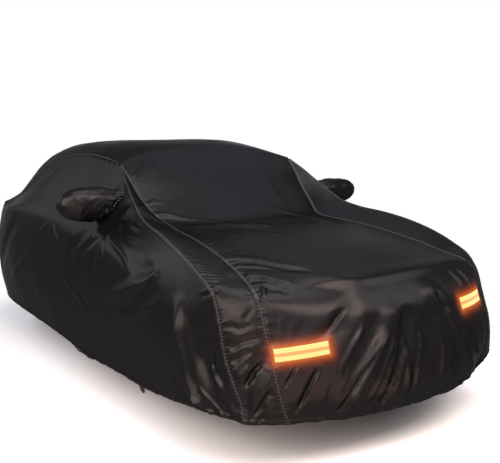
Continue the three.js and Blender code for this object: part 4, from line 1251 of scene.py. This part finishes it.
def strip_object(name, tree):
    middle, axes = strip_axes(name)
    along = np.linspace(-0.5, 0.5, 70) * STRIP["length"]
    low, high = BANDS
    rise = np.concatenate([np.linspace(0, low, 6), np.linspace(low, high, 4)[1:],
                           np.linspace(high, 1, 6)[1:]])
    rise_mm = (rise - 0.5) * STRIP["height"]
    deep = np.zeros((len(rise), len(along)))
    for i, v in enumerate(rise_mm):
        for j, u in enumerate(along):
            origin = middle + axes @ (u, -STRIP_SEARCH, v)
            hit = tree.ray_cast(origin.tolist(), axes[:, 1].tolist(), 400)
            deep[i, j] = (hit[3] if hit[0] is not None else STRIP_SEARCH) - STRIP_SEARCH
    even = deep
    for _ in range(6):  # the strip is stiffer than the cloth, and rides over its dips
        wide = np.pad(even, 1, "edge")
        even = (wide[2:, 1:-1] + wide[:-2, 1:-1] + wide[1:-1, 2:] + wide[1:-1, :-2]) / 4
    deep = np.minimum(deep, even) - 0.3 - STRIP["thick"]
    deep = np.pad(deep, 1, "edge")
    for edge in (np.s_[0], np.s_[-1], np.s_[:, 0], np.s_[:, -1]):
        deep[edge] += STRIP["thick"] + 1.5  # the strip's edges go down to the cloth
    u, v = np.meshgrid(np.pad(along, 1, "edge"), np.pad(rise_mm, 1, "edge"))
    points = middle + np.stack([u, deep, v], -1) @ axes.T
    obj = mesh_object("reflective_strip_%s_tape" % name, points.reshape(-1, 3),
                      grid_faces(*points.shape[:2], 1))
    cover_piece(obj, ["reflective_strip_" + name], yellow_glow)
    obj.data.materials.append(orange_glow.data)
    heights = np.pad(rise, 1, "edge")
    rows = [int(low < (a + b) / 2 < high) for a, b in zip(heights, heights[1:])]
    obj.data.polygons.foreach_set("material_index", np.repeat(rows, points.shape[1] - 1))


top_tree = BVHTree.FromPolygons(top.points.reshape(-1, 3).tolist(),
                                grid_faces(*top.points.shape[:2]).tolist())
for name in STRIPS:
    strip_object(name, top_tree)

# ---- what hangs from the hem ----

GAP = 0.3
CLOTH_THICK = 2
TAIL = 17  # of webbing beyond the bar it is sewn round
BAR_TURN = 2  # how far past a bar's edge the webbing turns
HEM_TAB = {"along": -1067, "radius": 34, "thick": 2.4}
STRAP = {"along": 20, "width": 38, "thick": 2, "drop": 8, "lead": 30, "lean": 38, "low": 132,
         "sills": 640}
BUCKLE = {"thick": 12, "socket": 50, "bar": 30, "edge": 4, "slot": 6}


def hem_seat(name, along):
    """Where a piece is sewn to a side's hem: the point, and the axes along it, out and up."""
    panel, side = by_name["side_panel_" + name], SIDES[name]
    y = along - ROOF_MIDDLE
    hem = panel.base[0]
    order = np.argsort(hem[:, 1])
    middle = read_points(y, hem[order, 1], hem[order])
    out = read_points(y, hem[order, 1], panel.normals[0][order])
    ahead = read_points(y + 5, hem[order, 1], hem[order])
    edge = unit(ahead - middle) * -side
    out = unit(out - edge * (out @ edge))
    return middle - out * CLOTH_THICK / 2, np.column_stack([edge, out, np.cross(edge, out)])


def cloth_trim_material(name, scale, colour):
    """Webbing or tape: rows of thick yarn across it."""
    mat = Material(name, colour, 0.6, 0.04)
    place = mat.place()
    yarn = None
    for axis, share in (("X", 1), ("Y", 1), ("Z", 0.7)):
        yarn = mat.bump(mat.wave(place, axis, scale * share), 0.0005, 0.4, yarn)
    mat.link("Normal", yarn)
    mat.link("Base Color", mat.ramp(mat.noise(place, 90), [0.7 * c for c in colour],
                                    last=[1.4 * c for c in colour]))
    return mat


def plastic_material():
    mat = Material("buckle_plastic", (0.010, 0.010, 0.011), 0.34, 0.45)
    place = mat.place()
    mat.link("Roughness", mat.span(mat.noise(place, 40), 0.26, 0.46))
    mat.link("Normal", mat.bump(mat.noise(place, 900), 0.0001, 0.35))
    return mat


webbing = cloth_trim_material("webbing", 220, (0.006, 0.006, 0.007))
tab_cloth = cloth_trim_material("tab_cloth", 420, (0.004, 0.004, 0.005))
plastic = plastic_material()
for node in ("buckle_socket", "buckle_prongs"):
    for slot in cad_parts[node].material_slots:
        slot.material = plastic.data


def tab_object(name):
    """A half round of doubled cloth that hangs from the hem, stitched round and slightly curled."""
    middle, axes = hem_seat(name, HEM_TAB["along"])
    radius = HEM_TAB["radius"]
    turn = np.linspace(math.pi - 0.22, 2 * math.pi + 0.22, 40)
    reach = np.concatenate([np.linspace(0.02, 0.9, 16), np.linspace(0.92, 1, 7)])
    half = HEM_TAB["thick"] / 2 * (1 - reach ** 16) ** 0.5
    half = half - 0.5 * np.exp(-((reach - 0.86) / 0.03) ** 2)
    curl = 3.0 * reach ** 3
    rows = [*zip(reach, curl + half), *list(zip(reach, curl - half))[::-1]]
    local = np.array([[(radius * r * math.cos(t), deep, radius * r * math.sin(t) + 1)
                       for t in turn] for r, deep in rows])
    points = middle + local @ axes.T
    count, wide = points.shape[:2]
    faces = grid_faces(count, wide, 1).tolist()
    faces += [[k * wide for k in range(count)], [k * wide + wide - 1 for k in range(count)][::-1]]
    obj = mesh_object("hem_tab_%s_cloth" % name, points.reshape(-1, 3), faces)
    cover_piece(obj, ["hem_tab_" + name], tab_cloth)
    radius = radius * MM


def ribbon(route, across_start, across_end, spacing):
    """Webbing along a route of points, with rounded edges."""
    path = curve_through(route)
    length = along_path(path(np.linspace(0, 1, 400)))[-1]
    share = np.linspace(0, 1, int(length / spacing / COARSE) + 2)
    on = path(share)
    ahead = unit(np.gradient(on, axis=0))
    across = across_start + (across_end - across_start) * share[:, None]
    across = unit(across - ahead * np.sum(across * ahead, axis=1, keepdims=True))
    out = np.cross(across, ahead)
    half, thin = STRAP["width"] / 2, STRAP["thick"] / 2
    shape = [(-half + 0.6, thin), (-half + 3, thin), (-half / 3, thin * 0.9),
             (half / 3, thin * 0.9), (half - 3, thin), (half - 0.6, thin), (half, 0)]
    shape += [(-a, -b) for a, b in shape]
    ring = np.stack([on + across * a + out * b for a, b in shape], 1)
    faces = grid_faces(len(share), len(shape), -1, True).tolist()
    first_end = list(range(len(shape)))
    last_end = [(len(share) - 1) * len(shape) + k for k in first_end]
    return ring.reshape(-1, 3), faces + [first_end, last_end[::-1]], length


def strap_object(name, points, faces, length):
    obj = mesh_object(name + "_webbing", points, faces)
    cover_piece(obj, [name], webbing)


seat, seat_axes = hem_seat("right", STRAP["along"])
far_seat, far_axes = hem_seat("left", STRAP["along"])
lean = math.radians(-STRAP["lean"])
tilt = np.array([(1, 0, 0), (0, math.cos(lean), -math.sin(lean)),
                 (0, math.sin(lean), math.cos(lean))])
buckle_origin = seat + seat_axes @ (0, 0, -GAP - STRAP["drop"])
buckle_axes = seat_axes @ tilt


def in_buckle(y, z):
    return buckle_origin + buckle_axes @ (0, y, z)


def loop_route(bar, towards):
    """Round a bar of the buckle: down its front, through the slot and back up behind it.
    towards is 1 where the bar is below the webbing and -1 where it is above."""
    out = BUCKLE["thick"] / 2 + GAP + STRAP["thick"] / 2
    slot = bar - towards * (BUCKLE["edge"] + BUCKLE["slot"] / 2)
    turned = towards * BAR_TURN
    return [in_buckle(out, bar + turned), in_buckle(out, slot + turned), in_buckle(0, slot),
            in_buckle(-out, slot + turned), in_buckle(-out, bar + turned),
            in_buckle(-STRAP["thick"] - GAP, bar + towards * TAIL)]


socket_top = -STRAP["lead"]
prongs_low = socket_top - BUCKLE["socket"] - GAP - BUCKLE["bar"]
lead = [seat + seat_axes @ (0, -2, 10), seat + seat_axes @ (0, 0, -GAP - 2), in_buckle(0, 0),
        in_buckle(0.5, socket_top + TAIL)]
strap_object("strap_lead", *ribbon(lead + loop_route(socket_top, 1), seat_axes[:, 0],
                                   buckle_axes[:, 0], 2.5))
low = STRAP["low"] - ROOF_HEIGHT
start = in_buckle(0, prongs_low - 30)
under = [far_seat + far_axes @ (0, -2, 10), far_seat + far_axes @ (0, 0, -2),
         far_seat + far_axes @ (0, 0, -50), np.array((STRAP["sills"], start[1], low)),
         np.array((0, start[1], low - 6)), np.array((-STRAP["sills"], start[1], low)), start,
         in_buckle(0.5, prongs_low - TAIL)]
strap_object("under_strap", *ribbon(under + loop_route(prongs_low, -1), -far_axes[:, 0],
                                    buckle_axes[:, 0], 8))
for name in SIDES:
    tab_object(name)

# ---- the camera ----

CAMERA_AT = (-2.209, -4.780, -0.209)
CAMERA_TURN = {"yaw": 31.7, "pitch": 5.4, "roll": -2.3}  # degrees right, down and anticlockwise

camera = add_object("camera", bpy.data.cameras.new("camera"))
bpy.context.scene.camera = camera
camera.data.sensor_width = 36
camera.data.lens = 50.7
yaw, pitch, roll = (math.radians(a) for a in CAMERA_TURN.values())
forward = np.array([math.sin(yaw) * math.cos(pitch), math.cos(yaw) * math.cos(pitch),
                    -math.sin(pitch)])
level = np.array([math.cos(yaw), -math.sin(yaw), 0])
raised = np.cross(level, forward)
right_axis = math.cos(roll) * level + math.sin(roll) * raised
up_axis = math.cos(roll) * raised - math.sin(roll) * level
camera_axes = Matrix(np.column_stack([right_axis, up_axis, -forward]).tolist())
camera.matrix_world = Matrix.Translation(CAMERA_AT) @ camera_axes.to_4x4()

# ---- light, floor and background ----


def lamp(name, place, target, size, power, colour):
    """A soft box at place that faces target (metres and watts)."""
    data = bpy.data.lights.new(name, "AREA")
    data.shape = "RECTANGLE"
    data.size, data.size_y = size
    data.energy = power
    data.color = colour
    obj = add_object(name, data)
    obj.visible_camera = False
    turn = (Vector(place) - Vector(target)).to_track_quat("Z", "Y").to_matrix()
    obj.matrix_world = Matrix.Translation(place) @ turn.to_4x4()


NOSE = (-0.3, -2.35, -0.9)
BONNET = (0, -1.5, -0.6)
SIDE = (-0.9, -1.0, -0.6)

# each lights the part of the cover that its reflection lies on; warm in front, cool behind
lamp("low_card", (-1.7, -4.7, -1.5), (-1.7, -4.7, 3), (3.4, 3.4), 205, (1.0, 0.55, 0.42))
lamp("front_left", (-4.6, -3.6, 0.9), (-0.75, -2.2, -0.9), (3.9, 2.4), 440, (1.0, 0.79, 0.71))
lamp("front_left_high", (-2.5, -4.4, 2.4), NOSE, (3.3, 1.9), 200, (1.0, 0.78, 0.72))
lamp("front", (-1.4, -6.4, 0.7), NOSE, (4.8, 2.1), 90, (1.0, 0.88, 0.87))
lamp("nose", (0.1, -5.3, 2.4), NOSE, (3.1, 2.2), 395, (1.0, 0.76, 0.70))
lamp("nose_right", (3.0, -4.6, 2.1), NOSE, (2.7, 2.7), 140, (1.0, 0.97, 0.95))
lamp("rear_right", (4.1, 2.2, 1.8), BONNET, (4.0, 3.0), 45, (0.84, 0.82, 1.0))
lamp("rear_right_high", (2.2, 0.7, 3.3), BONNET, (2.9, 2.3), 55, (0.72, 0.81, 1.0))
lamp("overhead", (-0.3, -2.0, 3.4), (-0.3, -1.6, -0.6), (3.4, 3.0), 270, (0.97, 0.95, 1.0))
lamp("side", (-4.2, 1.9, 1.8), SIDE, (3.2, 3.0), 195, (0.93, 0.93, 1.0))
lamp("side_rear", (-2.3, 3.4, 1.3), SIDE, (2.1, 2.9), 70, (0.93, 0.92, 1.0))

world = bpy.data.worlds.new("world")
bpy.context.scene.world = world
world.use_nodes = True
sky = Nodes(world.node_tree)
background = world.node_tree.nodes["Background"].inputs
background["Color"].default_value = (1, 1, 1, 1)
# white where it is seen, and dim as a light on the cover
world.node_tree.links.new(sky.span(sky.where_seen(), 0.1, 1.0), background["Strength"])

FLOOR_HALF = 60
floor_mesh = bpy.data.meshes.new("floor")
floor_mesh.from_pydata([(x * FLOOR_HALF, y * FLOOR_HALF, FLOOR)
                        for x, y in ((-1, -1), (1, -1), (1, 1), (-1, 1))], [], [(0, 1, 2, 3)])
floor = add_object("floor", floor_mesh)
ground = Material("floor", (0.57, 0.60, 0.61), 0.95, 0.05)
floor_mesh.materials.append(ground.data)
# away from the car the floor turns to the background's own white
oval = ground.add("VectorMath", [(0, ground.place())])
oval.operation = "MULTIPLY"
oval.inputs[1].default_value = (1.25, 1.0, 0)
away = ground.add("VectorMath", [(0, oval.outputs[0])])
away.operation = "LENGTH"
fade = ground.add("MapRange", [("Value", away.outputs["Value"])], From_Min=2.35, From_Max=3.5)
fade.interpolation_type = "SMOOTHSTEP"
share = ground.math("MULTIPLY", ground.where_seen(), fade.outputs["Result"])
white = ground.add("Emission", Color=(1, 1, 1, 1))
mix = ground.add("MixShader", [("Fac", share), (1, ground.shader.outputs[0]),
                               (2, white.outputs[0])])
surface = ground.tree.nodes["Material Output"].inputs["Surface"]
ground.tree.links.new(mix.outputs[0], surface)

bpy.context.scene.view_settings.view_transform = "Standard"
